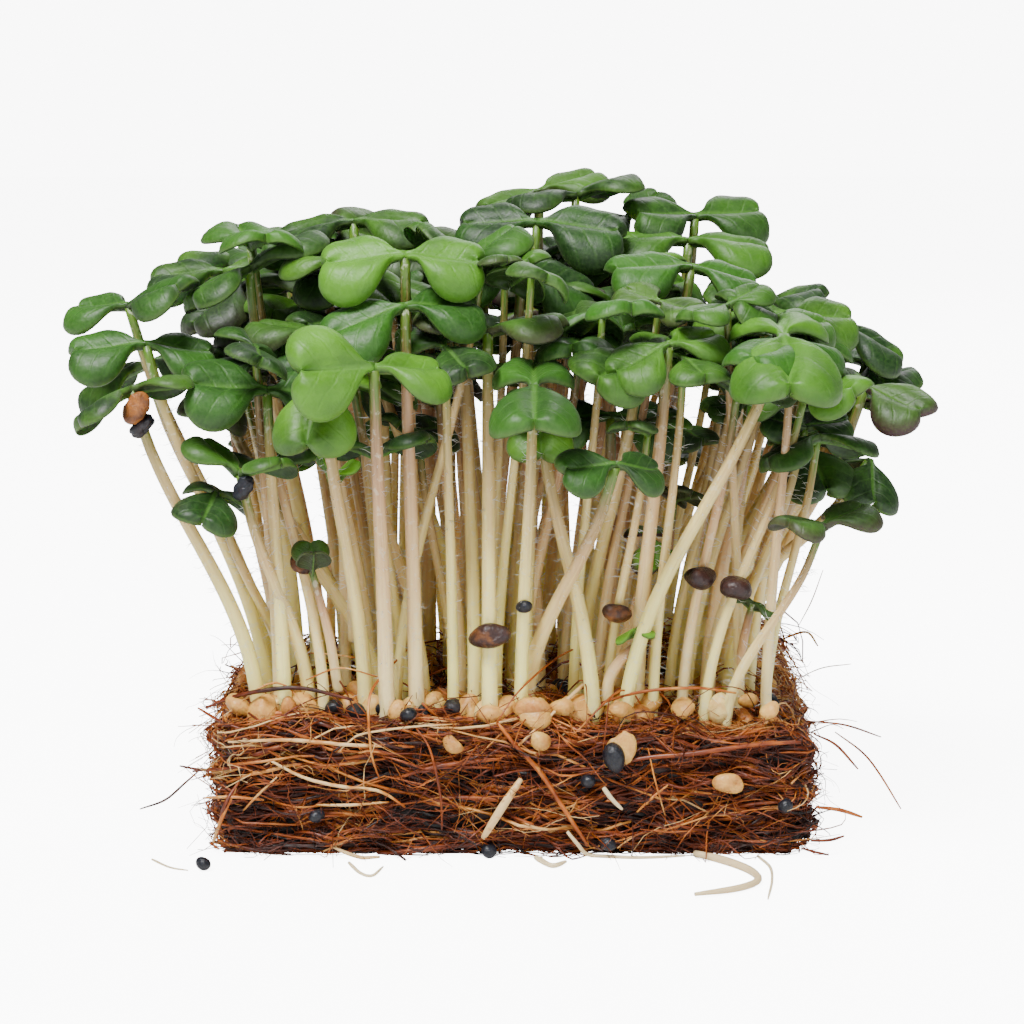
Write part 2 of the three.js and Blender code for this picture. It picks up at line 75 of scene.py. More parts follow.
def applyModifiers(thing):
    bpy.context.view_layer.objects.active = thing
    for modifier in list(thing.modifiers):
        bpy.ops.object.modifier_apply(modifier=modifier.name)


def selectEdges(thing, chosen):
    bpy.ops.object.mode_set(mode="EDIT")
    bpy.ops.mesh.select_mode(type="EDGE")
    bpy.ops.mesh.select_all(action="DESELECT")
    bpy.ops.object.mode_set(mode="OBJECT")
    for edge in thing.data.edges:
        a, b = (thing.data.vertices[i].co for i in edge.vertices)
        edge.select = chosen(a, b)
    bpy.ops.object.mode_set(mode="EDIT")


# a straight rod from z 0 to 1 with rings to bend it at, the start of stems, fibres, roots and hairs
def straightRod(sides, rings):
    deselectAll()
    bpy.ops.mesh.primitive_cylinder_add(
        vertices=sides, radius=1, depth=1, location=(0, 0, 0.5), end_fill_type="TRIFAN")
    rod = bpy.context.object
    bpy.ops.object.transform_apply(location=True, rotation=True, scale=True)
    selectEdges(rod, lambda a, b: abs(a.z - b.z) > 0.5)
    bpy.ops.mesh.subdivide(number_cuts=rings)
    bpy.ops.object.mode_set(mode="OBJECT")
    return rod


# takes a finished pattern piece apart into points and faces, so that it can be copied many times
def patternOf(thing):
    data = thing.data
    corners = np.zeros(len(data.loops), dtype=np.int64)
    data.loops.foreach_get("vertex_index", corners)
    starts = np.zeros(len(data.polygons), dtype=np.int64)
    data.polygons.foreach_get("loop_start", starts)
    pattern = {"points": pointsOf(thing), "corners": corners, "starts": starts}
    bpy.data.objects.remove(thing)
    return pattern


# joins bent copies of patterns into one piece; a shape is (pattern, points, flat, values)
# flat is the pattern's own unbent place, kept as the UV map, and values go to attributes of those names
def pieceOf(name, shapes, material, slotName, nodes=(), smooth=True):
    names = sorted({key for shape in shapes for key in shape[3]})
    points, corners, starts, flats = [], [], [], []
    values = {key: [] for key in names}
    pointCount = cornerCount = 0
    for pattern, placed, flat, marks in shapes:
        copies = placed.reshape(-1, len(pattern["points"]), 3)
        count, size = copies.shape[:2]
        points.append(copies.reshape(-1, 3))
        shift = (np.arange(count) * size)[:, None] + pointCount
        corners.append((pattern["corners"][None, :] + shift).ravel())
        shift = (np.arange(count) * len(pattern["corners"]))[:, None] + cornerCount
        starts.append((pattern["starts"][None, :] + shift).ravel())
        flats.append(np.broadcast_to(flat, (count, size, 2)).reshape(-1, 2))
        for key in names:
            value = np.asarray(marks.get(key, 0.0), dtype=float)
            if value.ndim == 1 and len(value) == count and count != size:
                value = value[:, None]
            values[key].append(np.broadcast_to(value, (count, size)).ravel())
        pointCount += count * size
        cornerCount += count * len(pattern["corners"])
    corners, starts = np.concatenate(corners), np.concatenate(starts)
    data = bpy.data.meshes.new(name)
    data.vertices.add(pointCount)
    data.vertices.foreach_set("co", (np.concatenate(points) * mm).astype(np.float32).ravel())
    data.loops.add(cornerCount)
    data.loops.foreach_set("vertex_index", corners.astype(np.int32))
    data.polygons.add(len(starts))
    data.polygons.foreach_set("loop_start", starts.astype(np.int32))
    data.update(calc_edges=True)
    data.uv_layers.new(name="UVMap")
    data.uv_layers[0].data.foreach_set("uv", np.concatenate(flats)[corners].astype(np.float32).ravel())
    for key in names:
        mark = data.attributes.new(key, "FLOAT", "POINT")
        mark.data.foreach_set("value", np.concatenate(values[key]).astype(np.float32))
    if smooth:
        data.shade_smooth()
    data.materials.append(material)
    piece = bpy.data.objects.new(name, data)
    bpy.context.scene.collection.objects.link(piece)
    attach(piece, "root")
    if nodes:
        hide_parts(*nodes)
    return piece


# bends copies of a rod along routes; routes is (copies, steps, 3) and radii is (copies, steps)
def alongRoutes(rod, routes, radii, draw):
    height = rod["points"][:, 2].clip(0, 1)
    steps = routes.shape[1]
    ahead = np.gradient(routes, axis=1)
    ahead /= np.linalg.norm(ahead, axis=2, keepdims=True) + 1e-9
    chord = routes[:, -1] - routes[:, 0]
    chord /= np.linalg.norm(chord, axis=1, keepdims=True) + 1e-9
    guide = np.cross(chord, draw.normal(size=chord.shape))
    guide /= np.linalg.norm(guide, axis=1, keepdims=True) + 1e-9
    beside = guide[:, None, :] - ahead * (ahead * guide[:, None, :]).sum(2, keepdims=True)
    beside /= np.linalg.norm(beside, axis=2, keepdims=True) + 1e-9
    above = np.cross(ahead, beside)
    at = height * (steps - 1)
    low = np.floor(at).astype(int).clip(0, steps - 2)
    part = (at - low)[None, :, None]

    def between(rows):
        return rows[:, low] * (1 - part) + rows[:, low + 1] * part

    across = between(radii[:, :, None])
    x, y = rod["points"][:, 0][None, :, None], rod["points"][:, 1][None, :, None]
    return between(routes) + (between(beside) * x + between(above) * y) * across


# how far round a rod and how far up it each of its points is
def rodUv(rod):
    turn = np.arctan2(rod["points"][:, 1], rod["points"][:, 0]) / (2 * math.pi)
    return np.stack([np.abs(turn) * 2, rod["points"][:, 2]], axis=1)


# rods along routes, as one shape for pieceOf
def rodShape(rod, routes, radii, **marks):
    return rod, alongRoutes(rod, routes, radii, draw), rodUv(rod), marks


def unit(vector):
    vector = np.asarray(vector, dtype=float)
    return vector / (np.linalg.norm(vector) + 1e-12)


# how far above the mat's top, in front of it and above the ground small things lie
resting = {"top": 0.3, "front": 0.4, "ground": 0.25, "lowest": 0.2}


# the place on the mat, or on what it stands on, that a point of the photograph shows
def seenAt(px, py, y=None):
    focal = photoCamera["lens"] / photoCamera["sensor"] * photoCamera["pixels"]
    tip, centre = math.radians(photoCamera["tip"]), photoCamera["pixels"] / 2
    right, up = (px - centre) / focal, (centre - py) / focal
    start = np.array(photoCamera["place"], dtype=float)
    look = np.array([right, math.cos(tip) + up * math.sin(tip), -math.sin(tip) + up * math.cos(tip)])
    if y is not None:
        return start + look * (y - start[1]) / look[1]
    onTop = start + look * (coirMat["thickness"] + resting["top"] - start[2]) / look[2]
    if onTop[1] > -coirMat["depth"] / 2:
        return onTop
    onFront = start + look * (-coirMat["depth"] / 2 - resting["front"] - start[1]) / look[1]
    if onFront[2] > resting["lowest"]:
        return onFront
    return start + look * (resting["ground"] - start[2]) / look[2]


# ---- the materials ----

# nodes that are made and wired by name, in a material or in a group
class wiring:
    def __init__(self, tree):
        self.nodes, self.links = tree.nodes, tree.links

    def node(self, kind, **settings):
        made = self.nodes.new("ShaderNode" + kind)
        for key, value in settings.items():
            setattr(made, key, value)
        return made

    def wire(self, source, target):
        if isinstance(source, (int, float, tuple)):
            target.default_value = source
        else:
            self.links.new(source, target)

    def math(self, operation, first, second=0.0, clamp=False):
        made = self.node("Math", operation=operation, use_clamp=clamp)
        self.wire(first, made.inputs[0])
        self.wire(second, made.inputs[1])
        return made.outputs[0]

    def part(self, source, share):
        return self.math("MULTIPLY", source, share)

    def band(self, value, start, end, low=0.0, high=1.0, blend="SMOOTHSTEP"):
        made = self.node("MapRange", interpolation_type=blend)
        rows = {"Value": value, "From Min": start, "From Max": end, "To Min": low, "To Max": high}
        for key, source in rows.items():
            self.wire(source, made.inputs[key])
        return made.outputs[0]

    def noise(self, place, **values):
        made = self.node("TexNoise")
        self.wire(place, made.inputs["Vector"])
        for key, value in values.items():
            self.wire(value, made.inputs[key])
        return made.outputs[0]

    # the UV map, whole and in its two parts
    def flat(self):
        whole, parts = self.node("UVMap", uv_map="UVMap").outputs["UV"], self.node("SeparateXYZ")
        self.wire(whole, parts.inputs[0])
        return whole, parts.outputs["X"], parts.outputs["Y"]


# a node group with named inputs and outputs
class effect(wiring):
    def __init__(self, name, inputs, outputs):
        self.group = bpy.data.node_groups.new(name, "ShaderNodeTree")
        super().__init__(self.group)
        for socket in inputs:
            kind = "NodeSocketVector" if socket == "Place" else "NodeSocketFloat"
            self.group.interface.new_socket(socket, in_out="INPUT", socket_type=kind)
        for socket in outputs:
            self.group.interface.new_socket(socket, in_out="OUTPUT", socket_type="NodeSocketFloat")
        self.given = self.nodes.new("NodeGroupInput").outputs
        self.out = self.nodes.new("NodeGroupOutput").inputs

    # the middle range of a noise, spread between the inputs Low and High
    def spread(self, noise, start, end):
        return self.band(noise, start, end, self.given["Low"], self.given["High"], "LINEAR")


# a fine mottle that changes over the surface, for colour and for bumps
def mottleGroup():
    made = effect("mottle", ("Place", "Size", "Detail", "Low", "High"), ("Mottle",))
    given = made.given
    noise = made.noise(given["Place"], Scale=given["Size"], Detail=given["Detail"], Roughness=0.55)
    made.wire(made.spread(noise, 0.32, 0.68), made.out["Mottle"])
    return made.group


# streaks that run along a stem, a root or a fibre, from its UV map
def streakGroup():
    made = effect("streaks", ("Around", "Along", "Low", "High"), ("Streaks",))
    whole, x, y = made.flat()
    both = made.node("CombineXYZ")
    made.wire(made.part(x, made.given["Around"]), both.inputs["X"])
    made.wire(made.part(y, made.given["Along"]), both.inputs["Y"])
    noise = made.noise(both.outputs[0], Scale=1.0, Detail=3.0)
    made.wire(made.spread(noise, 0.3, 0.7), made.out["Streaks"])
    return made.group


veins = {
    "span": (10.0, 12.0),  # the millimetres of leaf, along and across, that its UV map covers
    "midrib": (0.5, 0.16), "widening": 0.018, "slant": 0.95, "curve": 0.05,
    "wobble": 1.1, "wobbleSize": 4.5, "line": (0.24, 0.05), "inside": (5.2, 2.6),
}


# the midrib and the side veins of a seed leaf
def veinGroup(look):
    made = effect("leafVeins", ("Spacing",), ("Midrib", "Side veins"))
    whole, x, y = made.flat()
    along = made.part(x, look["span"][0])
    across = made.math("ABSOLUTE", made.part(made.math("SUBTRACT", y, 0.5), look["span"][1]))
    width = made.math("ADD", across, made.part(along, look["widening"]))
    leaning = made.math("SUBTRACT", along, made.part(across, look["slant"]))
    curved = made.math("ADD", leaning, made.part(made.part(across, across), look["curve"]))
    wobble = made.noise(whole, Scale=look["wobbleSize"])
    bent = made.math("ADD", curved, made.part(wobble, look["wobble"]))
    lines = made.band(made.math("PINGPONG", bent, made.given["Spacing"]), *look["line"])
    made.wire(made.band(width, *look["midrib"]), made.out["Midrib"])
    made.wire(made.part(lines, made.band(across, *look["inside"])), made.out["Side veins"])
    return made.group


groups = {"mottle": mottleGroup(), "streaks": streakGroup(), "leafVeins": veinGroup(veins)}


class finish(wiring):
    def __init__(self, name, **sockets):
        self.material = bpy.data.materials.new(name)
        self.material.use_nodes = True
        super().__init__(self.material.node_tree)
        self.shader = self.nodes["Principled BSDF"]
        for socket, value in sockets.items():
            self.shader.inputs[socket.replace("_", " ")].default_value = value

    def shared(self, name, **values):
        made = self.node("Group")
        made.node_tree = groups[name]
        for key, value in values.items():
            self.wire(value, made.inputs[key])
        return made.outputs

    def mottle(self, size, detail, low=0.0, high=1.0):
        place = self.node("TexCoord").outputs["Object"]
        return self.shared("mottle", Place=place, Size=size, Detail=detail, Low=low, High=high)[0]

    def streaks(self, around, along, low=-0.5, high=0.5):
        return self.shared("streaks", Around=around, Along=along, Low=low, High=high)[0]

    def mark(self, name):
        return self.node("Attribute", attribute_name=name).outputs["Fac"]

    def mix(self, amount, first, second):
        made = self.node("Mix", data_type="RGBA", blend_type="MIX")
        self.wire(amount, made.inputs[0])
        self.wire(first, made.inputs[6])
        self.wire(second, made.inputs[7])
        return made.outputs[2]

    def ramp(self, amount, stops):
        made = self.node("ValToRGB")
        bar = made.color_ramp.elements
        while len(bar) < len(stops):
            bar.new(0.5)
        for element, (at, colour) in zip(bar, stops):
            element.position = at
        for element, (at, colour) in zip(bar, stops):
            element.color = colour
        self.wire(amount, made.inputs[0])
        return made.outputs[0]

    def bump(self, height, depth, strength):
        made = self.node("Bump")
        made.inputs["Strength"].default_value = strength
        made.inputs["Distance"].default_value = depth
        self.wire(height, made.inputs["Height"])
        self.wire(made.outputs[0], self.shader.inputs["Normal"])

    def colour(self, source):
        self.wire(source, self.shader.inputs["Base Color"])

    # roughness that grows with a mask
    def roughness(self, mask, share, least):
        self.wire(self.math("ADD", self.part(mask, share), least), self.shader.inputs["Roughness"])


# lit is the green of the lightest leaves; deep is the darker green that low and far leaves are mixed toward as
# painted shade, and darker leaves at random
leafFinish = {
    "lit": (0.033, 0.150, 0.005, 1), "young": (0.205, 0.520, 0.016, 1), "deep": (0.003, 0.024, 0.001, 1),
    # under is the near-black colour of the leaf undersides, painted shade
    "vein": (0.095, 0.250, 0.028, 1), "under": (0.006, 0.024, 0.003, 1), "flush": (0.036, 0.006, 0.014, 1),
    "rim": (0.070, 0.140, 0.022, 1), "bloom": (0.26, 0.50, 0.13, 1), "bump": 0.00010,
}


def leafMaterial(name, look):
    made = finish(name, Subsurface_Weight=0.10, Subsurface_Scale=0.0012, Subsurface_Radius=(0.5, 1.0, 0.2),
                  Sheen_Weight=0.04, Sheen_Roughness=0.45, Specular_IOR_Level=0.38)
    lines = made.shared("leafVeins", Spacing=0.95)
    midrib, sides = lines["Midrib"], lines["Side veins"]
    patches, fine = made.mottle(170.0, 3.0, -0.28, 0.28), made.mottle(2600.0, 2.0)
    # painted shade: the tone mark, lower for low and far leaves, mixes each blade toward the deep green
    shade = made.math("ADD", made.mark("tone"), patches, clamp=True)
    green = made.mix(made.part(made.mark("sunny"), 0.7), look["lit"], look["young"])
    green = made.mix(shade, look["deep"], green)
    green = made.mix(made.part(sides, 0.09), green, look["vein"])
    green = made.mix(made.part(midrib, 0.42), green, look["vein"])
    green = made.mix(made.part(made.band(made.mark("rim"), 0.90, 1.0), 0.5), green, look["rim"])
    edge = made.band(made.mark("rim"), 0.55, 1.0, 0.25, 1.0)
    edge = made.math("MULTIPLY", edge, made.mark("flush"), clamp=True)
    green = made.mix(edge, green, look["flush"])
    # painted shade: undersides are coloured near-black green, the side turned from the light, with the purple
    # flush on some pairs
    below = made.mix(made.part(midrib, 0.6), look["under"], look["vein"])
    below = made.mix(made.part(made.mark("flush"), 0.7), below, look["flush"])
    green = made.mix(made.part(made.mark("under"), 0.8), green, below)
    made.colour(made.mix(made.part(fine, 0.05), green, look["bloom"]))
    made.roughness(fine, 0.14, 0.43)
    height = made.math("SUBTRACT", made.part(fine, 0.25), made.part(sides, 0.32))
    made.bump(made.math("SUBTRACT", height, made.part(midrib, 0.9)), look["bump"], 0.7)
    return made.material


stemFinish = {
    "ivory": [(0.0, (0.97, 0.82, 0.30, 1)), (0.18, (0.94, 0.86, 0.27, 1)), (0.40, (0.90, 0.76, 0.26, 1)),
              (0.68, (0.68, 0.50, 0.20, 1)), (0.86, (0.34, 0.27, 0.08, 1)), (0.96, (0.085, 0.190, 0.015, 1))],
    "pink": [(0.0, (0.97, 0.80, 0.36, 1)), (0.18, (0.94, 0.72, 0.36, 1)), (0.42, (0.80, 0.53, 0.26, 1)),
             (0.70, (0.50, 0.28, 0.14, 1)), (0.87, (0.24, 0.14, 0.06, 1)), (0.97, (0.085, 0.150, 0.015, 1))],
    "speck": (0.75, 0.72, 0.55, 1), "hair": (0.86, 0.86, 0.82, 1), "bump": 0.00006,
}


def stemMaterial(name, look):
    made = finish(name, Subsurface_Weight=0.22, Subsurface_Scale=0.002, Subsurface_Radius=(1.0, 0.7, 0.35),
                  Specular_IOR_Level=0.5, Coat_Weight=0.12, Coat_Roughness=0.3)
    streaks, speck = made.streaks(9.0, 6.0), made.mottle(1400.0, 2.0)
    up = made.math("ADD", made.flat()[2], made.part(streaks, 0.10), clamp=True)
    blush = made.math("ADD", made.mark("tone"), made.part(streaks, 0.25), clamp=True)
    skin = made.mix(blush, made.ramp(up, look["ivory"]), made.ramp(up, look["pink"]))
    skin = made.mix(made.part(made.band(speck, 0.75, 1.0), 0.3), skin, look["speck"])
    made.colour(made.mix(made.mark("hair"), skin, look["hair"]))
    made.roughness(speck, 0.15, 0.30)
    made.bump(made.math("ADD", speck, streaks), look["bump"], 0.6)
    return made.material


coirFinish = {
    "tones": [(0.0, (0.003, 0.001, 0.0005, 1)), (0.25, (0.036, 0.005, 0.001, 1)), (0.5, (0.165, 0.026, 0.002, 1)),
              (0.72, (0.410, 0.100, 0.008, 1)), (0.88, (0.570, 0.250, 0.050, 1)), (1.0, (0.720, 0.490, 0.220, 1))],
    "bump": 0.00004,
}


def coirMaterial(name, look):
    made = finish(name, Specular_IOR_Level=0.42)
    streaks = made.streaks(5.0, 14.0)
    patches, clumps = made.mottle(420.0, 3.0, -0.12, 0.12), made.mottle(150.0, 2.0, -0.17, 0.15)
    tone = made.math("ADD", made.mark("tone"), made.part(streaks, 0.22))
    tone = made.math("ADD", made.math("ADD", tone, clumps), patches, clamp=True)
    made.colour(made.ramp(tone, look["tones"]))
    made.roughness(streaks, 0.2, 0.42)
    made.bump(streaks, look["bump"], 0.8)
    return made.material


seedFinish = {
    "tones": [(0.0, (0.006, 0.007, 0.012, 1)), (0.3, (0.034, 0.010, 0.006, 1)), (0.55, (0.400, 0.140, 0.026, 1)),
              (0.8, (0.720, 0.410, 0.100, 1)), (1.0, (0.860, 0.660, 0.260, 1))],
    "bump": 0.00008,
}


def seedMaterial(name, look):
    made = finish(name, Specular_IOR_Level=0.4, Coat_Weight=0.08, Coat_Roughness=0.3,
                  Subsurface_Weight=0.25, Subsurface_Scale=0.0012, Subsurface_Radius=(1.0, 0.5, 0.2))
    patches, pits = made.mottle(700.0, 4.0, -0.10, 0.10), made.mottle(3800.0, 1.0)
    made.colour(made.ramp(made.math("ADD", made.mark("tone"), patches, clamp=True), look["tones"]))
    made.roughness(pits, 0.22, 0.36)
    made.bump(pits, look["bump"], 0.5)
    return made.material


rootFinish = {"root": (0.88, 0.70, 0.40, 1), "stain": (0.46, 0.24, 0.08, 1), "bump": 0.00004}


def rootMaterial(name, look):
    made = finish(name, Subsurface_Weight=0.25, Subsurface_Scale=0.0015, Subsurface_Radius=(1.0, 0.9, 0.7))
    streaks = made.streaks(6.0, 10.0, 0.0, 1.0)
    stain = made.math("ADD", made.mark("tone"), made.part(streaks, 0.2), clamp=True)
    made.colour(made.mix(stain, look["root"], look["stain"]))
    made.roughness(streaks, 0.2, 0.4)
    made.bump(streaks, look["bump"], 0.6)
    return made.material


materials = {
    "leaf": leafMaterial("leafBlade", leafFinish), "stem": stemMaterial("stemSkin", stemFinish),
    "coir": coirMaterial("coirFibre", coirFinish), "seed": seedMaterial("seedCoat", seedFinish),
    "root": rootMaterial("rootSkin", rootFinish),
}
print("materials made")

# ---- the plan of the seedlings, the same as the solids' ----

coirMat = {"width": 57, "depth": 40, "thickness": 13, "slope": 0.0035, "ripple": 0.45}
planting = {"seed": 38, "stemCircle": 2.6, "places": 5, "rise": 0.5, "arch": (0.10, 0.18), "droop": 0.04,
            "blade": 0.7, "neck": 3.2}

leafOutline = [
    (0, -0.8), (2.0, -1.7), (3.9, -4.2), (6.3, -5.0), (8.1, -3.0), (6.8, 0),
    (8.1, 3.0), (6.3, 5.0), (3.9, 4.2), (2.0, 1.7), (0, 0.8),
]
leafInside = [(4.9, -2.4), (4.9, 2.4), (2.9, 0)]

crowns = [
    (-22, -13.5), (-11.5, -14.5), (-1, -15), (9.5, -14.5),
    (-22, -3), (-12, -4.5), (-2, -5), (8, -5), (18, -6),
    (-21, 7), (-11, 5), (0, 5), (10.5, 5), (21.5, 4.5),
    (-12, 14.8), (4, 14.8), (16, 14.2),
]

# groups of seedlings whose leaves touch, each with its tuft, where its two leaves meet, and, where they
# are set, its turn, the lift of each leaf, its roll and its size
canopyMarks = ("tuft", "tip", "turn", "lift", "roll", "size")
canopy = [
    [(2, (-12.5, -27, 47.5), 205, (5, 0), (-70, 20), 0.95)],
    [(2, (-17.5, -24, 46), 250, (-50, 10), 0, 0.9)],
    [(1, (-23, -23, 45.5), 190, (15, 0), -40, 0.95)],
    [(1, (-34.5, -21, 44), 200, (-25, 10), 15, 0.75)],
    [(1, (-25.5, -20, 37), 150, (35, 20), 10, 0.7),
     (2, (-16.5, -18, 38), 30, (30, 25), 0, 0.65)],
    [(2, (-9, -22, 50.5), 200, (-15, 5), -25, 1),
     (7, (-6, -12, 48), 320, (-30, 5), None, 0.9)],
    [(3, (-2.3, -20, 51), 350, (15, 20), 0, 0.9)],
    [(3, (2, -24, 45.5), 270, (-15, 20), 0, 0.95)],
    [(4, (3.5, -20, 42.5), 275, (-45, 0), 0, 0.65)],
    [(4, (25, -22, 50), 270, (-20, 15), 0, 1.15)],
    [(4, (14.5, -20, 49), 215, (-20, 10), -20, 0.8),
     (8, (19, -17, 45), 235, (-10, 10), -30, 0.85)],
    [(3, (10.5, -25, 39.5), 200, (0, -10), -35, 0.65)],
    [(4, (13.6, -17, 29.5), 280, (-45, 10), 0, 0.5)],
    [(3, (-5.7, -14, 55.5), 20, (40, 50), 0, 0.85),
     (6, (-7, -7, 53.5), 180, (0, 0), -35, 1)],
    [(1, (-35, -15, 48.5), 190, (0, -5), -25, 0.9)],
    [(5, (-37, -10, 52), 335, (25, 0), 20, 0.85)],
    [(8, (9.5, -12, 42.5), 0, (-5, 0), 30, 0.9)],
    [(5, (-25.5, -8, 56.5), 25, (30, -20), -10, 0.95),
     (5, (-17, -8, 50), None, None, None, 0.9)],
    [(5, (-36, -5, 46), 170, (-20, 10), -10, 0.95),
     (6, (-31, -8, 45.5), 230, (-30, 10), None, 0.85)],
    [(6, (-13, -8, 54), 170, (10, -10), -10, 1)],
    [(7, (-1, -8, 55.5), 0, (-20, 0), 30, 1),
     (7, (4.7, -8, 48), None, None, None, 0.85)],
    [(8, (17.5, -6, 55.5), 190, (5, -10), -20, 1),
     (9, (22, -8, 52), 330, (-35, 0), 15, 1)],
    [(9, (29, -8, 38), 280, (-40, 5), None, 0.75),
     (9, (34, -2, 31), 290, (-45, -20), None, 0.7)],
    [(12, (1.5, -3, 57.5), 350, (0, 5), 30, 1.1)],
    [(12, (-5.5, 4, 57), 200, (0, 0), -40, 1.05)],
    [(13, (12.5, -4, 56), 235, (-20, 10), -25, 0.95),
     (13, (7, 2, 52), 10, None, None, 0.9)],
    [(10, (-26.5, 2, 53.5), 215, (-25, 5), 0, 1),
     (10, (-30, 9, 54), 180, (0, 10), -20, 0.95)],
    [(11, (-17, 3, 56.5), 175, (-5, 5), -15, 1),
     (11, (-20, 2, 49.5), None, None, None, 0.95)],
    [(15, (-11.8, 9, 56.5), 190, (30, 0), -40, 1),
     (11, (-11.5, 4, 55.5), 30, (25, 25), None, 0.8)],
    [(17, (26.5, 0, 50.5), 190, (5, 0), -30, 0.95),
     (17, (27, 8, 52.5), 0, (20, 25), None, 0.8)],
    [(9, (33.5, -2, 50), 170, (10, -25), -10, 1)],
    [(14, (34, 2, 43.5), 320, (-15, 10), 20, 0.85),
     (14, (36, 3, 37.5), 300, (-45, 0), None, 0.75)],
    [(14, (37.5, 7, 47), 300, (-30, 10), None, 0.8),
     (14, (39, 8, 42.5), 0, (20, 0), 0, 0.8)],
    [(16, (3.6, 8, 62), 195, (0, 20), 5, 0.9),
     (16, (7, 10, 61), 15, (20, -10), 10, 0.9)],
    [(17, (18, 7, 57.5), 0, (0, 5), 10, 1.05),
     (17, (20, 15, 58.5), 20, (10, 10), 30, 0.95),
     (13, (11, 10, 50))],
    [(15, (-24, 15, 55)),
     (10, (-31, 15, 49.5)),
     (15, (-23, 22, 48))],
    [(12, (-3, 14, 52)),
     (15, (-7, 21, 51)),
     (16, (5, 22, 53))],
    [(14, (30, 16, 47)),
     (17, (17, 22, 51))],
    [(16, (12, 14, 58.5), 45, (35, 0), None, 0.65)],
]
# how far a solid's seedling may have been turned, flattened and shrunk to find room
easings = [(0, 1, 1), (12, 1, 1), (-12, 1, 1), (25, 0.8, 0.95), (-25, 0.8, 0.95), (50, 0.5, 0.9),
           (-50, 0.5, 0.9), (90, 0.3, 0.85), (0, 0, 0.75)]


def drawer(seed):
    state = seed
    while True:
        state = state * 16807 % 2147483647
        yield state / 2147483647


def matTop(x, y):
    return (coirMat["thickness"] + coirMat["slope"] * np.maximum(x, 0) * y
            + coirMat["ripple"] * np.sin(0.55 * x) * np.cos(0.7 * y))


# curls a flat leaf over from side to side and droops it along its length, then turns it to its place
def bendLeaf(leaf, flat):
    along, across, height = flat[:, 0], flat[:, 1], flat[:, 2]
    start = math.radians(leaf["lift"])
    tilt = start - leaf["droop"] * along
    reach = (math.sin(start) - np.sin(tilt)) / leaf["droop"]
    rise = (np.cos(tilt) - math.cos(start)) / leaf["droop"]
    curl = across * leaf["arch"]
    side = np.sin(curl) / leaf["arch"] + height * np.sin(curl)
    over = (np.cos(curl) - 1) / leaf["arch"] + height * np.cos(curl)
    forward = reach - np.sin(tilt) * over
    up = rise + np.cos(tilt) * over
    turn, roll = math.radians(leaf["turn"]), math.radians(leaf["roll"])
    ahead = np.array([math.cos(turn), math.sin(turn), 0])
    top = np.array([math.sin(turn) * math.sin(roll), -math.cos(turn) * math.sin(roll), math.cos(roll)])
    left = np.cross(top, ahead)
    return forward[:, None] * ahead + side[:, None] * left + up[:, None] * top


def leavesOf(seedling):
    rolls = seedling["roll"] if isinstance(seedling["roll"], tuple) else (seedling["roll"], -seedling["roll"])
    return [{"turn": seedling["turn"] + 180 * n, "roll": rolls[n],
             "lift": seedling["lift"][n], "arch": seedling["arch"], "droop": planting["droop"],
             "size": seedling["size"] * (0.92 if n else 1)} for n in (0, 1)]


# a tip counts as found when enough corners agree on it, within a cell, and as sure when twice as many do
matching = {"cell": 0.05, "reach": 0.06, "found": 20, "sure": 40}


# finds where a solid's seedling stands: its outline is laid over the solid's corners until most agree
def settledTip(seedling, corners):
    ring = leafOutline[1:-1] + leafInside
    flat = [(along, across, height) for height in (0.5, -0.5) for along, across in ring]
    outline = []
    for leaf in leavesOf(seedling):
        sized = np.array([(a * leaf["size"], b * leaf["size"], h * planting["blade"]) for a, b, h in flat])
        outline.append(bendLeaf(leaf, sized))
    outline = np.concatenate(outline)
    shifts = (corners[:, None, :] - outline[None, :, :]).reshape(-1, 3)
    cell = matching["cell"]
    cells, counts = np.unique(np.round(shifts / cell).astype(int), axis=0, return_counts=True)
    best = cells[counts.argmax()] * cell
    near = shifts[np.abs(shifts - best).max(1) < matching["reach"]]
    return near.mean(0), len(near)


def growAll():
    draw = drawer(planting["seed"])
    free = [list(range(planting["places"])) for crown in crowns]  # the places in each tuft still to fill
    order = sorted(((member, group) for group, members in enumerate(canopy) for member in range(len(members))))
    corners = {}
    grown = []
    for member, group in order:
        cells = zip(canopyMarks, canopy[group][member])
        plan = {key: value for key, value in cells if value is not None}
        seedling = {"turn": 360 * next(draw), "lift": (30 * next(draw) - 8, 30 * next(draw) - 8),
                    "roll": 50 * next(draw) - 25, "size": 0.88 + 0.2 * next(draw),
                    "arch": planting["arch"][0] + (planting["arch"][1] - planting["arch"][0]) * next(draw)}
        seedling.update(plan)
        crown = crowns[plan["tuft"] - 1]
        heading = math.atan2(plan["tip"][1] - crown[1], plan["tip"][0] - crown[0])
        places = free[plan["tuft"] - 1]
        places.sort(key=lambda place: -math.cos(
            2 * math.pi * place / planting["places"] + plan["tuft"] - heading))
        angle = 2 * math.pi * places.pop(0) / planting["places"] + plan["tuft"]
        root = np.array([crown[0] + planting["stemCircle"] * math.cos(angle),
                         crown[1] + planting["stemCircle"] * math.sin(angle),
                         matTop(crown[0], crown[1]) + planting["rise"] - 1])
        node = "leaves_%02d" % (group + 1)
        if node not in corners:
            corners[node] = np.unique(np.round(pointsOf(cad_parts[node]) / mm, 4), axis=0)
        best = (None, 0, None)
        for turned, lifted, sized in easings:
            eased = dict(seedling, turn=seedling["turn"] + turned, size=seedling["size"] * sized,
                         lift=tuple(lift * lifted for lift in seedling["lift"]))
            tip, votes = settledTip(eased, corners[node])
            if votes > best[1]:
                best = (tip, votes, eased)
            if votes > matching["sure"]:
                break
        if best[1] < matching["found"]:
            continue
        tip, votes, eased = best
        grown.append(dict(eased, tip=tip, root=root, group=group, node=node, leaves=leavesOf(eased)))
    return grown


seedlings = growAll()
print("seedlings found in the solids:", len(seedlings))

# ---- the leaves ----

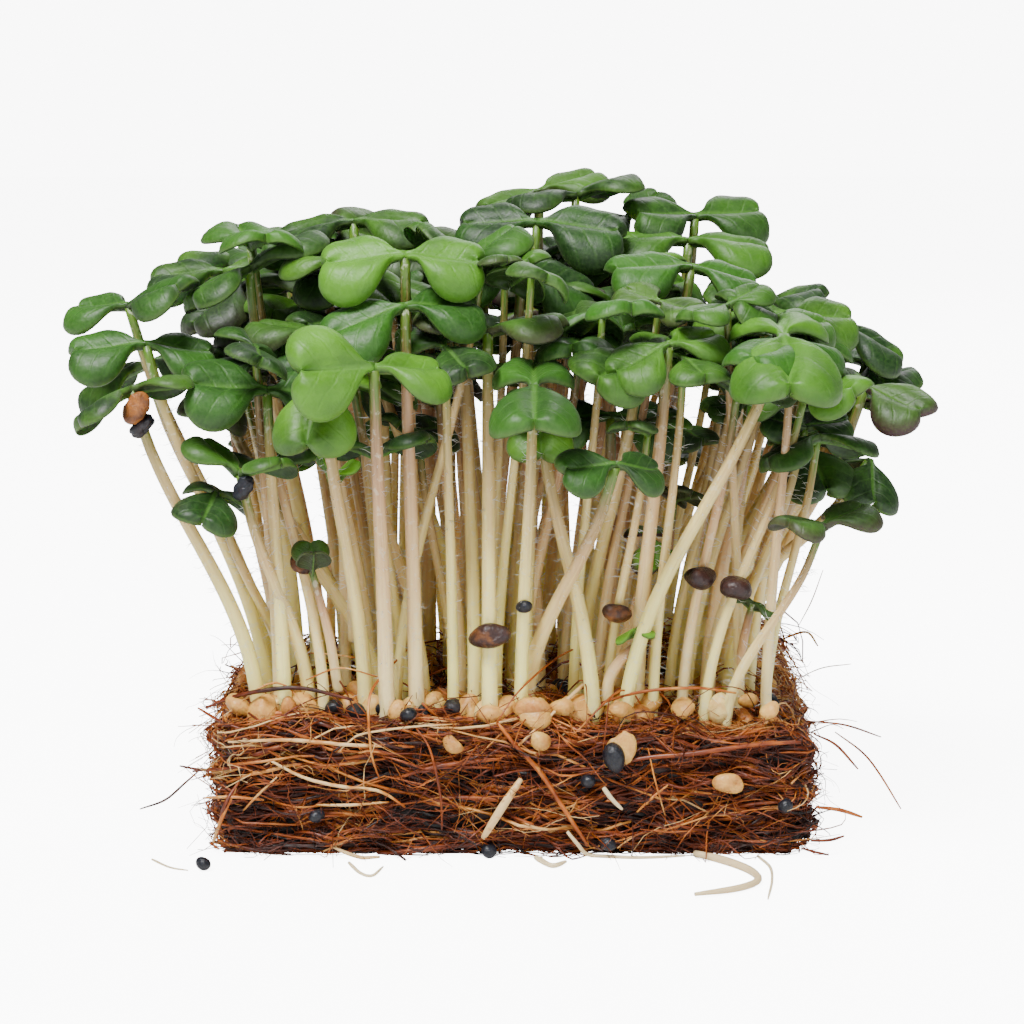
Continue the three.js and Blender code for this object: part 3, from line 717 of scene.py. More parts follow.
leafBlade = {
    "columns": 18, "rows": 22, "thickness": 0.36, "fold": 1.05, "stalk": 0.6, "ridge": 0.5, "keel": 0.42,
    "dome": 0.75, "puff": 0.07, "wave": 0.22,
    "curve": [(0, 0.52), (0.7, 0.56), (1.4, 1.0), (2.0, 2.2), (2.9, 3.8), (4.2, 4.85), (5.7, 5.15), (7.1, 4.7),
              (8.1, 3.6), (8.45, 2.3), (8.25, 1.1), (7.7, 0.35), (7.35, 0.03)],
    "notch": 7.3,
}


# a smooth line through a few points, at even steps
def smoothLine(points, count):
    points = np.asarray(points, dtype=float)
    padded = np.vstack([2 * points[0] - points[1], points, 2 * points[-1] - points[-2]])
    fine = []
    for a, b, c, d in zip(padded[:-3], padded[1:-2], padded[2:-1], padded[3:]):
        t = np.linspace(0, 1, 12, endpoint=False)[:, None]
        square, cube = (2 * a - 5 * b + 4 * c - d) * t ** 2, (3 * b - a - 3 * c + d) * t ** 3
        fine.append(0.5 * (2 * b + (c - a) * t + square + cube))
    fine = np.vstack(fine + [points[-1:]])
    run = np.concatenate([[0], np.cumsum(np.linalg.norm(np.diff(fine, axis=0), axis=1))])
    even = np.linspace(0, run[-1], count)
    return np.stack([np.interp(even, run, fine[:, k]) for k in range(fine.shape[1])], axis=1)


def flatLeaf(look):
    deselectAll()
    bpy.ops.mesh.primitive_grid_add(x_subdivisions=look["columns"], y_subdivisions=look["rows"], size=2)
    leaf = bpy.context.object
    grid = pointsOf(leaf)
    side, v = grid[:, 0], (grid[:, 1] + 1) / 2
    margin = smoothLine(look["curve"], 60)
    run = np.linspace(0, 1, 60)
    rimAlong, rimAcross = np.interp(v, run, margin[:, 0]), np.interp(v, run, margin[:, 1])
    spread = np.abs(side) ** 0.85
    middle = look["notch"] * v
    along = middle + (rimAlong - middle) * spread
    across = np.sign(side) * rimAcross * spread
    movePoints(leaf, np.stack([along, across, np.zeros_like(along)], axis=1))
    shell = leaf.modifiers.new("blade", "SOLIDIFY")
    shell.thickness, shell.offset = look["thickness"], 0
    applyModifiers(leaf)
    points = pointsOf(leaf)
    along, across, height = points.T.copy()
    rim = np.tile(np.abs(side), 2)
    height *= 1 - 0.45 * rim ** 4
    height *= 1 + look["stalk"] * np.exp(-(along / 1.6) ** 2)
    middle = np.exp(-(across / 0.55) ** 2) * (1 - along / 8.2).clip(0, 1) ** 0.7
    below = points[:, 2] < 0
    height -= np.where(below, look["ridge"] * middle, 0.10 * middle)
    leafPattern = patternOf(leaf)
    leafPattern.update(flat=np.stack([along, across, height], axis=1), rim=rim, under=below.astype(float))
    return leafPattern


draw = np.random.default_rng(4021)
leafPattern = flatLeaf(leafBlade)
leafUv = leafPattern["flat"][:, :2] / veins["span"] + [0, 0.5]


def bentBlade(leaf, look):
    flat = leafPattern["flat"] * [leaf["size"], leaf["size"], 1]
    rim = leafPattern["rim"]
    angle = np.arctan2(flat[:, 1], flat[:, 0] - 3)
    phase, second = draw.uniform(0, 6.28, 2)
    wave = look["wave"] * rim ** 3 * (np.sin(2 * angle + phase) + 0.5 * np.sin(3 * angle + second))
    dome = look["dome"] * np.sin(math.pi * rim ** 0.8) ** 0.8 - 0.35 * rim ** 6
    keel = look["keel"] * np.exp(-(flat[:, 1] / 0.8) ** 2)
    puff = look["puff"] * np.sin(math.pi * rim) * np.sin(1.6 * flat[:, 0] - 1.5 * np.abs(flat[:, 1]))
    flat[:, 2] += (wave - keel + puff + dome) * (flat[:, 0] / 3.5).clip(0, 1) * leaf["size"]
    return bendLeaf(dict(leaf, arch=leaf["arch"] * look["fold"]), flat)


def leafShape(leaf, tip, **marks):
    marks.update(rim=leafPattern["rim"], under=leafPattern["under"])
    return leafPattern, bentBlade(leaf, leafBlade) + tip, leafUv, marks


# how leaves are coloured: a shade of 1 is light green, and a blush of 1 is purple; a lower shade for low and far
# leaves is painted shade
leafToneAndShade = {
    # low, rise, near and depth set where the painted shade deepens
    "low": 36, "rise": 24, "near": 8, "depth": 30,  # the heights and depths over which the shade changes
    "shade": (-0.20, 0.52, 0.34), "spread": 0.24, "pairSpread": 0.12, "sunny": 1.8,
    "blushed": 0.25, "blush": (0.35, 0.95), "faint": (0.0, 0.15),
    "purple": (12, 31),  # the sprout and the pair at the right that show purple in the photograph
}


# low and far leaves are painted a deeper green as painted shade, and some pairs are flushed with purple
def pairShapes(seedling, look=leafToneAndShade):
    blush = draw.uniform(*look["blush"]) if draw.random() < look["blushed"] else draw.uniform(*look["faint"])
    high = ((seedling["tip"][2] - look["low"]) / look["rise"]).clip(0, 1)
    near = ((look["near"] - seedling["tip"][1]) / look["depth"]).clip(0, 1)
    base, byHeight, byDepth = look["shade"]
    # painted shade: leaves low in the clump and far back get a lower shade, with a random spread on top
    shade = base + byHeight * high + byDepth * near + draw.uniform(-look["spread"], look["spread"])
    sunny = draw.random() ** look["sunny"]
    if seedling.get("group") in look["purple"]:
        blush, shade = 1.0, 0.6
    shapes = []
    for leaf in seedling["leaves"]:
        tone = min(1.0, max(0.0, shade + draw.uniform(-look["pairSpread"], look["pairSpread"])))
        shapes.append(leafShape(leaf, seedling["tip"], flush=blush, sunny=sunny, tone=tone))
    return shapes


for group in range(len(canopy)):
    node = "leaves_%02d" % (group + 1)
    shapes = [shape for seedling in seedlings if seedling["node"] == node for shape in pairShapes(seedling)]
    pieceOf("leafBlades%02d" % (group + 1), shapes, materials["leaf"], "leaf", [node])
print("leaves bent")

# ---- the stems ----

stemShape = {
    "sides": 10, "rings": 24, "at": (0, 0.1, 0.5, 0.9, 1.0), "radii": (0.76, 0.76, 0.63, 0.50, 0.48),
    "footDepth": 2.6, "footBend": 1.3,
}
stemHairs = {"perStem": 90, "sides": 3, "rings": 1, "radius": 0.032, "shortest": 0.4, "longest": 1.15}


def stemRoute(root, tip, steps=44):
    chord = tip - root
    last = unit([chord[0], chord[1], chord[2] * 1.25])
    top = tip - last * planting["neck"]
    low = root + np.array([chord[0] * 0.04, chord[1] * 0.04, chord[2] * 0.36])
    high = top - last * chord[2] * 0.34
    t = np.linspace(0, 1, steps)[:, None]
    curve = (1 - t) ** 3 * root + 3 * (1 - t) ** 2 * t * low + 3 * (1 - t) * t ** 2 * high + t ** 3 * top
    turn = root[0] * 5.3 + root[1] * 3.1  # each foot bends its own way where it leaves the mat
    foot = root + np.array([math.cos(turn), math.sin(turn), 0]) * stemShape["footBend"]
    foot = foot - [0, 0, stemShape["footDepth"]]
    return smoothLine(np.vstack([foot, curve[::4], tip - last * 0.25]), steps)


stemRod = patternOf(straightRod(stemShape["sides"], stemShape["rings"]))
hairRod = patternOf(straightRod(stemHairs["sides"], stemHairs["rings"]))


def hairsOn(route, radius, count, look):
    at = draw.integers(6, len(route) - 5, count)
    ahead = (route[at + 1] - route[at - 1])
    ahead /= np.linalg.norm(ahead, axis=1, keepdims=True)
    out = np.cross(ahead, draw.normal(size=(count, 3)))
    out /= np.linalg.norm(out, axis=1, keepdims=True)
    start = route[at] + out * (radius * 0.9)
    length = draw.uniform(look["shortest"], look["longest"], (count, 1))
    lean = out + ahead * draw.uniform(-0.35, 0.6, (count, 1))
    middle = start + lean * length * 0.5
    end = middle + (out + ahead * draw.uniform(-0.6, 0.9, (count, 1))) * length * 0.5
    routes = np.stack([start, middle, end], axis=1)
    radii = np.broadcast_to(np.array([1.0, 0.7, 0.12]) * look["radius"], (count, 3))
    return alongRoutes(hairRod, routes, radii, draw)


def stemShapes(route, girth=1.0):
    v = np.linspace(0, 1, len(route))
    radii = girth * draw.uniform(0.92, 1.08) * np.interp(v, stemShape["at"], stemShape["radii"])
    blush = draw.uniform(0.5, 1.0) if draw.random() < 0.4 else draw.uniform(0.0, 0.35)
    hairs = hairsOn(route, radii.mean(), stemHairs["perStem"], stemHairs)
    return [rodShape(stemRod, route[None], radii[None], tone=blush, hair=0.0),
            (hairRod, hairs, rodUv(hairRod), {"tone": 0.0, "hair": 1.0})]


stemRoutes = []
for tuft in range(1, len(crowns) + 1):
    shapes = []
    for seedling in [s for s in seedlings if s["tuft"] == tuft]:
        route = stemRoute(seedling["root"], seedling["tip"])
        stemRoutes.append(route)
        shapes += stemShapes(route)
    pieceOf("stems%02d" % tuft, shapes, materials["stem"], "stem", ["tuft_%02d_stems" % tuft])
print("stems grown")

# ---- smaller seedlings that fill the clump between the ones above, each where it crosses none of them ----

innerSeedlings = {
    "count": 112, "tries": 70, "size": (0.55, 0.88), "girth": 0.74,
    "leafRoom": 0.32, "stemRoom": 1.05, "mixedRoom": 0.7, "footRoom": 1.7,
    "near": 1.5,  # gaps are measured no wider than this
}
leafMiddles = [(5.6, -3.6), (5.6, 3.6), (4.2, -3.0), (4.2, 3.0), (7.2, -1.6), (7.2, 1.6)]


def leafPoints(leaf, tip):
    flat = [(along, across, 0) for along, across in leafOutline + leafInside + leafMiddles]
    return bendLeaf(leaf, np.array(flat) * [leaf["size"], leaf["size"], 1]) + tip


def leastGap(some, others, least):
    low, high = some.min(0) - least, some.max(0) + least
    near = others[((others > low) & (others < high)).all(1)]
    if not len(near):
        return 9.0
    return np.sqrt(((some[:, None, :] - near[None, :, :]) ** 2).sum(2)).min()


def plantInner(look):
    def tooClose(some, others, room):
        return leastGap(some, others, look["near"]) < look[room]

    greens = np.concatenate([leafPoints(leaf, s["tip"]) for s in seedlings for leaf in s["leaves"]])
    pales = np.concatenate(stemRoutes)
    roots = np.array([s["root"][:2] for s in seedlings])
    planted = []
    for n in range(look["count"]):
        for attempt in range(look["tries"]):
            root = np.array([draw.uniform(-25, 25.5), draw.uniform(-16.5, 17), 0])
            if np.hypot(*(roots - root[:2]).T).min() < look["footRoom"]:
                continue
            root[2] = matTop(root[0], root[1]) - 0.5
            aside = np.clip(root[0] * 1.25 + draw.normal(0, 3), -28, 29)
            tip = np.array([aside, root[1] * 1.3 + draw.normal(0, 3), 0])
            dome = 58 - 0.0085 * tip[0] ** 2 - 0.012 * max(tip[1] - 8, 0) ** 2
            tip[2] = dome - abs(draw.normal(0, 8.5)) - 1.5
            seedling = {"turn": draw.uniform(0, 360), "lift": tuple(draw.uniform(-22, 28, 2)),
                        "roll": draw.uniform(-30, 30), "size": draw.uniform(*look["size"]),
                        "arch": draw.uniform(0.12, 0.2), "tip": tip, "root": root}
            seedling["leaves"] = leavesOf(seedling)
            route = stemRoute(root, tip)
            if tooClose(route[6:-2], pales, "stemRoom") or tooClose(route[6:-2], greens, "mixedRoom"):
                continue
            green = np.concatenate([leafPoints(leaf, tip) for leaf in seedling["leaves"]])
            if tooClose(green, greens, "leafRoom") or tooClose(green, pales, "mixedRoom"):
                continue
            greens, pales = np.concatenate([greens, green]), np.concatenate([pales, route])
            roots = np.concatenate([roots, root[None, :2]])
            planted.append((seedling, route))
            break
    return planted


innerPlants = plantInner(innerSeedlings)
halves = [innerPlants[0::2], innerPlants[1::2]]
for n, plants in enumerate(halves, 1):
    shapes = [shape for seedling, route in plants for shape in pairShapes(seedling)]
    pieceOf("innerLeafBlades%d" % n, shapes, materials["leaf"], "leaf")
for n, plants in enumerate(halves, 1):
    shapes = [shape for seedling, route in plants for shape in stemShapes(route, innerSeedlings["girth"])]
    pieceOf("innerStems%d" % n, shapes, materials["stem"], "stem")
print("inner seedlings planted:", len(innerPlants))

# ---- the coir mat ----

# fibres of each thickness: how many, then in millimetres their radius, how far out they lie and their
# length, then how much they stray from level, how much they wind and how far their ends stand out
fibreMarks = ("count", "radius", "depth", "length", "spread", "wobble", "fray")
fibreTable = {
    "wall": {
        "coarse": (300, (0.20, 0.34), (-1.3, -0.1), (10, 34), 0.14, 0.5, 0.5),
        "middle": (1500, (0.09, 0.19), (-0.9, 0.25), (6, 26), 0.24, 0.6, 1.0),
        "fine": (2300, (0.035, 0.08), (-0.4, 0.6), (3, 15), 0.8, 1.0, 1.6),
    },
    "top": {
        "coarse": (170, (0.20, 0.34), (-1.1, 0.0), (8, 26), 0.8, 0.6, 0.3),
        "middle": (900, (0.09, 0.19), (-0.7, 0.3), (5, 20), 1.2, 0.8, 0.7),
        "fine": (1300, (0.035, 0.08), (-0.2, 0.7), (3, 12), 1.6, 1.0, 1.3),
    },
    "under": {
        "middle": (900, (0.12, 0.24), (-0.9, -0.15), (6, 24), 1.4, 0.8, 0.0),
    },
}
fibres = {side: {size: dict(zip(fibreMarks, row)) for size, row in rows.items()}
          for side, rows in fibreTable.items()}
coirSides = {"corner": 3.5, "edge": 1.8, "ragged": 0.6}
coirCore = {"inset": 1.3, "lift": 0.4, "lowest": 0.3, "cuts": 18, "rough": 0.4}

rods = {size: patternOf(straightRod(sides, rings))
        for size, sides, rings in (("coarse", 5, 9), ("middle", 4, 9), ("fine", 3, 7))}


# a place on the rounded wall of the mat: how far round it, how far up it, and how far out of it
def wallPlace(round_, up, out):
    r, edge = coirSides["corner"], coirSides["edge"]
    w, d, h = coirMat["width"] / 2 - r, coirMat["depth"] / 2 - r, coirMat["thickness"]
    arc = math.pi / 2 * r
    stops = np.cumsum([0, 2 * w, arc, 2 * d, arc, 2 * w, arc, 2 * d, arc])
    at = np.mod(round_, stops[-1])
    x = np.interp(at, stops, [-w, w, w, w, w, -w, -w, -w, -w])
    y = np.interp(at, stops, [-d, -d, -d, d, d, d, d, -d, -d])
    face = np.interp(at, stops, np.array([-1, -1, 0, 0, 1, 1, 2, 2, 3]) * (math.pi / 2))
    bend = np.clip((up - (h - edge)) / edge, 0, math.pi / 2)
    low = np.clip((edge - up) / edge, 0, math.pi / 2)
    inward = edge * (1 - np.cos(bend)) + np.maximum(up - (h - edge) - edge * math.pi / 2, 0)
    inward = inward + edge * (1 - np.cos(low)) + np.maximum(edge - up - edge * math.pi / 2, 0)
    z = np.clip(up, edge, h - edge) + edge * np.sin(bend) - edge * np.sin(low)
    level = np.cos(bend) * np.cos(low)
    ragged = coirSides["ragged"] * (np.sin(0.9 * round_ + 0.8 * up) + np.cos(1.7 * up - 0.45 * round_)) * level
    away = r - inward + out * level + ragged
    x, y = x + np.cos(face) * away, y + np.sin(face) * away
    z = z * matTop(x, y) / h + out * (np.sin(bend) - np.sin(low))
    return np.stack([x, y, z], axis=-1), stops[-1]


def drawBetween(low, high, shape, power=1.0):
    return low + (high - low) * draw.random(shape) ** power


# the winding lines of many fibres on a flat sheet: along it, across it and out of it
def windingLines(kind, steps, count):
    t = np.linspace(-0.5, 0.5, steps)[None, :]
    length = drawBetween(*kind["length"], (count, 1), 1.6)
    heading = draw.normal(0, kind["spread"], (count, 1))
    curve = draw.normal(0, 0.25, (count, 1)) * length * (t * t - 0.08)
    turns, phase = draw.uniform(4, 12, (count, 1)), draw.uniform(0, 6.28, (count, 1))
    swing = kind["wobble"] * 0.5 * np.sin(t * turns + phase)
    run, aside = t * length, curve + swing
    along = run * np.cos(heading) - aside * np.sin(heading)
    across = run * np.sin(heading) + aside * np.cos(heading)
    out = drawBetween(*kind["depth"], (count, 1))
    turns, phase = draw.uniform(5, 14, (count, 1)), draw.uniform(0, 6.28, (count, 1))
    out = out + 0.25 * np.sin(t * turns + phase)
    ends = np.abs(2 * t) ** 3 * np.sign(t) * draw.choice([-1, 1], (count, 1))
    out = out + np.maximum(ends, 0) * kind["fray"] * draw.random((count, 1)) ** 2 * 1.5
    return along, across, out


def fibreRadii(kind, steps, count):
    t = np.linspace(0, 1, steps)[None, :]
    taper = 0.35 + 0.65 * np.sin(math.pi * t.clip(0.06, 0.94)) ** 0.5
    return drawBetween(*kind["radius"], (count, 1), 1.5) * taper


# fibres are painted darker and redder deep in the mat and low on it, and lighter high on it, as painted light and
# shade, and are greyer and more golden at its worn right and back
def fibreTonesAndShade(middles, depth):
    # painted shade: fibres lying deeper in the mat get a lower, darker tone
    tone = draw.normal(0.50, 0.15, len(middles)) + 0.10 * depth
    worn = ((middles[:, 0] - 21) / 7).clip(0, 1) * ((middles[:, 1] + 12) / 10).clip(0, 1)
    worn = np.maximum(worn, ((middles[:, 1] - 14) / 5).clip(0, 1) * 0.6)
    left = ((-middles[:, 0] - 23) / 5).clip(0, 1)
    # the height term is painted light and shade: fibres higher on the mat are lighter, lower ones darker
    tone += 0.26 * worn + 0.10 * left + 0.09 * (middles[:, 2] / 6.5 - 1)
    tone += np.where(draw.random(len(middles)) < 0.05, 0.3, 0)
    return (tone - np.where(draw.random(len(middles)) < 0.15, 0.25, 0)).clip(0.03, 0.98)


def wallFibres(size, steps=16):
    kind = fibres["wall"][size]
    count = kind["count"]
    along, across, out = windingLines(kind, steps, count)
    perimeter = wallPlace(np.zeros(1), np.zeros(1), np.zeros(1))[1]
    round_ = draw.uniform(0, perimeter, (count, 1)) + along
    up = draw.uniform(-2.5, coirMat["thickness"] + 4.5, (count, 1)) + across
    up = np.clip(up, -4, coirMat["thickness"] + 9)
    routes, radii = wallPlace(round_, up, out)[0], fibreRadii(kind, steps, count)
    routes[..., 2] = np.maximum(routes[..., 2], radii + 0.03)
    tones = fibreTonesAndShade(routes[:, steps // 2], out[:, steps // 2])
    return rodShape(rods[size], routes, radii, tone=tones)


def flatFibres(side, size, steps=16):
    kind, under = fibres[side][size], side == "under"
    count = kind["count"]
    along, across, out = windingLines(kind, steps, count)
    w, d = coirMat["width"] / 2 - 3, coirMat["depth"] / 2 - 3
    x = np.clip(draw.uniform(-w, w, (count, 1)) + along, -w - 2, w + 2)
    y = np.clip(draw.uniform(-d, d, (count, 1)) + across, -d - 2, d + 2)
    z = -out if under else matTop(x, y) + out
    radii = fibreRadii(kind, steps, count)
    routes = np.stack([x, y, np.maximum(z, radii + 0.03)], axis=-1)
    tones = fibreTonesAndShade(routes[:, steps // 2], out[:, steps // 2])
    return rodShape(rods[size], routes, radii, tone=tones)


def coreBlock(look):
    deselectAll()
    size = [coirMat["width"] - 2 * look["inset"], coirMat["depth"] - 2 * look["inset"],
            coirMat["thickness"] - look["inset"] - look["lift"]]
    bpy.ops.mesh.primitive_cube_add(size=1, location=(0, 0, size[2] / 2 + look["lift"]))
    block = bpy.context.object
    block.scale = size
    bpy.ops.object.transform_apply(location=True, rotation=True, scale=True)
    bpy.ops.object.mode_set(mode="EDIT")
    bpy.ops.mesh.select_all(action="SELECT")
    bpy.ops.mesh.subdivide(number_cuts=look["cuts"])
    bpy.ops.object.mode_set(mode="OBJECT")
    points = pointsOf(block)
    top = matTop(points[:, 0], points[:, 1]) / coirMat["thickness"]
    points[:, 2] = look["lift"] + (points[:, 2] - look["lift"]) * top
    x, y, z = points.T
    lump = np.sin(x * 1.9 + z) * np.cos(y * 2.3) + np.sin(z * 2.7 + x * 0.8)
    away = points / (np.abs(points).max(0) + 1e-6)
    points += away ** 5 * (look["rough"] * lump)[:, None]
    points[:, 2] = points[:, 2].clip(look["lowest"])
    movePoints(block, points)
    pattern = patternOf(block)
    flat = np.stack([points[:, 0] / 6 + points[:, 1] / 6, points[:, 2] / 6], axis=1)
    # the core is coloured near black: painted shade for the dark gaps between the fibres
    return pattern, points, flat, {"tone": 0.08}


def coirPiece(name, shape, **settings):
    pieceOf("coir" + name, [shape], materials["coir"], "coir", ["coir_mat"], **settings)


coirPiece("Core", coreBlock(coirCore), smooth=False)
for size in rods:
    coirPiece("Wall" + size.capitalize(), wallFibres(size))
    coirPiece("Top" + size.capitalize(), flatFibres("top", size))
coirPiece("Underside", flatFibres("under", "middle"))
print("coir laid")

# loose strands that stand out of the mat where the photograph shows them: points, depths, radius, tone
looseStrands = {
    "rings": 20,
    "strands": [
        ([(269, 760), (305, 778), (344, 787), (379, 791), (405, 807)], (-20.6, -21.4, -20.8), 0.19, 0.90),
        ([(338, 752), (350, 741), (362, 734), (410, 727), (459, 724)], (-20.6, -21.0, -20.0), 0.11, 1.0),
        ([(521, 779), (503, 806), (483, 838)], (-20.6, -21.4, -20.8), 0.46, 0.98),
        ([(497, 722), (515, 745), (540, 772), (562, 806), (588, 846)], (-20.2, -21.2, -21.3, -20.8), 0.26, 0.62),
        ([(228, 742), (290, 740), (350, 745), (415, 747)], (-20.6, -21.2, -20.6), 0.20, 0.86),
        ([(203, 798), (232, 797), (264, 800)], (-20.2, -21.3, -20.8), 0.16, 0.86),
        ([(316, 805), (350, 805), (389, 802)], (-20.6, -21.2, -20.6), 0.15, 0.86),
        ([(243, 811), (258, 795), (277, 777)], (-20.6, -21.4, -20.8), 0.12, 0.94),
        ([(213, 842), (222, 818), (236, 788)], (-20.2, -21.6, -20.8), 0.18, 0.90),
        ([(375, 754), (404, 762), (435, 773)], (-20.6, -21.6, -21.0), 0.11, 0.66),
        ([(394, 779), (440, 766), (499, 759)], (-20.6, -21.2, -20.6), 0.22, 0.60),
        ([(333, 847), (352, 855), (380, 862)], (-20.8, -21.3, -20.8), 0.20, 0.92),
        ([(648, 748), (655, 780), (665, 815)], (-20.6, -21.8, -21.0), 0.09, 0.90),
        ([(637, 812), (652, 798), (668, 785)], (-20.6, -21.4, -20.8), 0.13, 0.88),
        ([(609, 700), (606, 726), (603, 752)], (-20.2, -21.8, -20.8), 0.08, 0.66),
        ([(304, 653), (330, 654), (358, 658)], (-13.0, -16.0, -15.0), 0.07, 0.86),
        ([(306, 680), (340, 668), (378, 677)], (-17.0, -18.6, -17.4), 0.09, 0.84),
        ([(600, 640), (560, 656), (520, 690), (497, 722)], (-10.0, -14.0, -18.5, -20.4), 0.10, 0.60),
        ([(416, 728), (428, 745), (435, 768), (441, 800), (442, 830)], (-20.4, -22.2, -20.8), 0.13, 0.55),
        ([(407, 650), (382, 676), (369, 700), (371, 751), (379, 778)], (-12.0, -18.5, -21.6, -20.8), 0.14, 0.76),
        ([(206, 708), (230, 698), (261, 691), (301, 688), (354, 700)], (-14.5, -17.5, -18.5), 0.22, 0.34),
        ([(198, 708), (222, 722), (247, 731)], (-16.0, -18.5, -19.5), 0.16, 0.42),
        ([(180, 766), (205, 770), (235, 767), (261, 760)], (-16.0, -19.5, -20.5), 0.16, 0.36),
        ([(140, 809), (165, 800), (185, 783), (202, 768)], (-14.0, -17.0, -18.0), 0.12, 0.30),
        ([(239, 782), (225, 805), (218, 835)], (-20.4, -21.6, -20.8), 0.20, 0.50),
        ([(617, 653), (567, 700), (517, 747)], (-11.0, -17.5, -21.0), 0.19, 0.93),
        ([(586, 708), (640, 692), (697, 688), (736, 693)], (-16.0, -18.6, -17.0), 0.16, 0.62),
        ([(598, 768), (645, 758), (690, 754), (753, 745), (801, 742)], (-20.6, -21.2, -20.2), 0.24, 0.60),
        ([(835, 732), (862, 752), (879, 773), (901, 809)], (-8.0, -10.0, -12.0), 0.12, 0.62),
        ([(814, 734), (836, 745), (858, 769)], (-16.0, -15.0, -14.0), 0.14, 0.58),
        ([(806, 721), (845, 725), (881, 737)], (-12.0, -11.0, -10.0), 0.11, 0.56),
        ([(816, 807), (840, 810), (862, 817)], (-19.6, -19.0, -18.0), 0.20, 0.66),
        ([(811, 841), (830, 840), (844, 836)], (-20.2, -19.8, -19.0), 0.16, 0.50),
        ([(801, 848), (815, 852), (829, 855)], (-20.4, -20.6, -20.8), 0.14, 0.40),
        ([(797, 679), (822, 668), (851, 664)], (6.0, 4.0, 2.0), 0.07, 0.80),
        ([(799, 625), (812, 600), (823, 570)], (17.0, 16.0, 15.0), 0.07, 0.78),
        ([(780, 640), (806, 632), (818, 646)], (18.0, 17.0, 16.0), 0.14, 0.86),
    ],
    "strays": 420, "arches": 190, "heap": 260,
}
strandRod = patternOf(straightRod(6, looseStrands["rings"]))


def seenRoute(pixels, depths, steps=30):
    ys = np.interp(np.linspace(0, 1, len(pixels)), np.linspace(0, 1, len(depths)), depths)
    return smoothLine([seenAt(px, py, y) for (px, py), y in zip(pixels, ys)], steps)


def strandShapes(look):
    shapes = []
    for pixels, depths, radius, tone in look["strands"]:
        route = seenRoute(pixels, depths)
        route[:, 2] = route[:, 2].clip(radius)
        taper = radius * (0.35 + 0.65 * np.sin(np.linspace(0.12, math.pi - 0.12, len(route))) ** 0.5)
        shapes.append(rodShape(strandRod, route[None], taper[None], tone=tone))
    return shapes + [strayStrands(look["strays"]), archingStrands(look["arches"]),
                     archingStrands(look["heap"], (13, 25), (2, 18), 5.0, 0.72)]


# thin fibres that stand out of the walls of the mat
def strayStrands(count, steps=16):
    round_ = draw.uniform(0, 188, (count, 1))
    t = np.linspace(0, 1, steps)[None, :]
    length = draw.uniform(2.5, 9, (count, 1))
    start, rise = draw.uniform(0.5, 14.5, (count, 1)), draw.normal(0, 2.5, (count, 1))
    up = start + t * rise - t * t * draw.uniform(0, 2, (count, 1))
    out = -0.8 + t * length * draw.uniform(0.25, 0.8, (count, 1))
    round_ = round_ + t * length * draw.normal(0, 0.8, (count, 1))
    routes = wallPlace(round_, up, out)[0]
    routes[..., 2] = routes[..., 2].clip(0.12)
    radii = draw.uniform(0.05, 0.14, (count, 1)) * (1 - 0.75 * t)
    tones = draw.normal(0.5, 0.18, count).clip(0.1, 0.95)
    return rodShape(rods["middle"], routes, radii, tone=tones)


# thin fibres that rise out of the top of the mat between the stems and come down again
def archingStrands(count, wide=(-27, 26), deep=(-19, 18), tall=4.6, golden=0.56, steps=18):
    t = np.linspace(0, 1, steps)[None, :]
    x, y = draw.uniform(*wide, (count, 1)), draw.uniform(*deep, (count, 1))
    length, heading = draw.uniform(5, 20, (count, 1)), draw.normal(0, 0.7, (count, 1))
    sway = draw.normal(0, 2.0, (count, 1)) * np.sin(math.pi * t)
    x = (x + (t - 0.5) * length * np.cos(heading) - sway * np.sin(heading)).clip(-30.5, 30.5)
    y = (y + (t - 0.5) * length * np.sin(heading) + sway * np.cos(heading)).clip(-21.5, 21.5)
    rise = draw.uniform(0.3, 1, (count, 1)) ** 2 * tall * (1 + 0.5 * ((x - 15) / 12).clip(0, 1))
    z = matTop(x, y) - 0.4 + rise * np.sin(math.pi * t ** draw.uniform(0.6, 1.6, (count, 1)))
    radii = draw.uniform(0.045, 0.12, (count, 1)) * (0.5 + 0.5 * np.sin(math.pi * t.clip(0.05, 0.95)))
    tones = draw.normal(golden, 0.15, count).clip(0.15, 0.95)
    return rodShape(rods["middle"], np.stack([x, y, z], axis=-1), radii, tone=tones)


pieceOf("coirLooseStrands", strandShapes(looseStrands), materials["coir"], "coir")
print("loose strands laid")

# ---- seeds, seed coats and husks ----

seedShapes = {
    "segments": 18, "rings": 12, "groove": 0.16, "wall": 0.08, "scattered": 70,
    # seen in the photograph: place, length in mm, kind and tone, where 0 is black, 0.6 amber and 1 pale yellow
    "seen": [
        (262, 708, 2.3, "seed", -0.1), (334, 712, 2.2, "seed", -0.1), (383, 713, 2.0, "seed", -0.1),
        (408, 719, 2.1, "seed", -0.1), (424, 715, 1.9, "seed", -0.1), (317, 815, 2.0, "seed", -0.1),
        (489, 854, 2.2, "seed", -0.1), (588, 780, 2.1, "seed", -0.1), (608, 843, 2.0, "seed", -0.1),
        (785, 805, 2.2, "seed", -0.1), (203, 868, 2.0, "seed", -0.1), (338, 700, 2.7, "coat", 0.76),
        (392, 693, 2.6, "coat", 0.74), (432, 709, 2.8, "coat", 0.72), (563, 715, 2.9, "coat", 0.76),
        (651, 708, 3.0, "coat", 0.74), (290, 704, 2.5, "coat", 0.70), (361, 706, 2.4, "coat", 0.78),
        (462, 706, 2.6, "coat", 0.69), (486, 700, 2.4, "coat", 0.76), (523, 709, 2.7, "coat", 0.71),
        (598, 702, 2.6, "coat", 0.77), (622, 716, 2.5, "coat", 0.69), (683, 714, 2.6, "coat", 0.74),
        (703, 696, 2.5, "coat", 0.66), (748, 706, 2.4, "coat", 0.74), (770, 716, 2.3, "coat", 0.80),
        (720, 688, 2.6, "seed", 0.18), (540, 738, 2.4, "husk", 0.70), (455, 741, 2.3, "husk", 0.64),
    ],
}


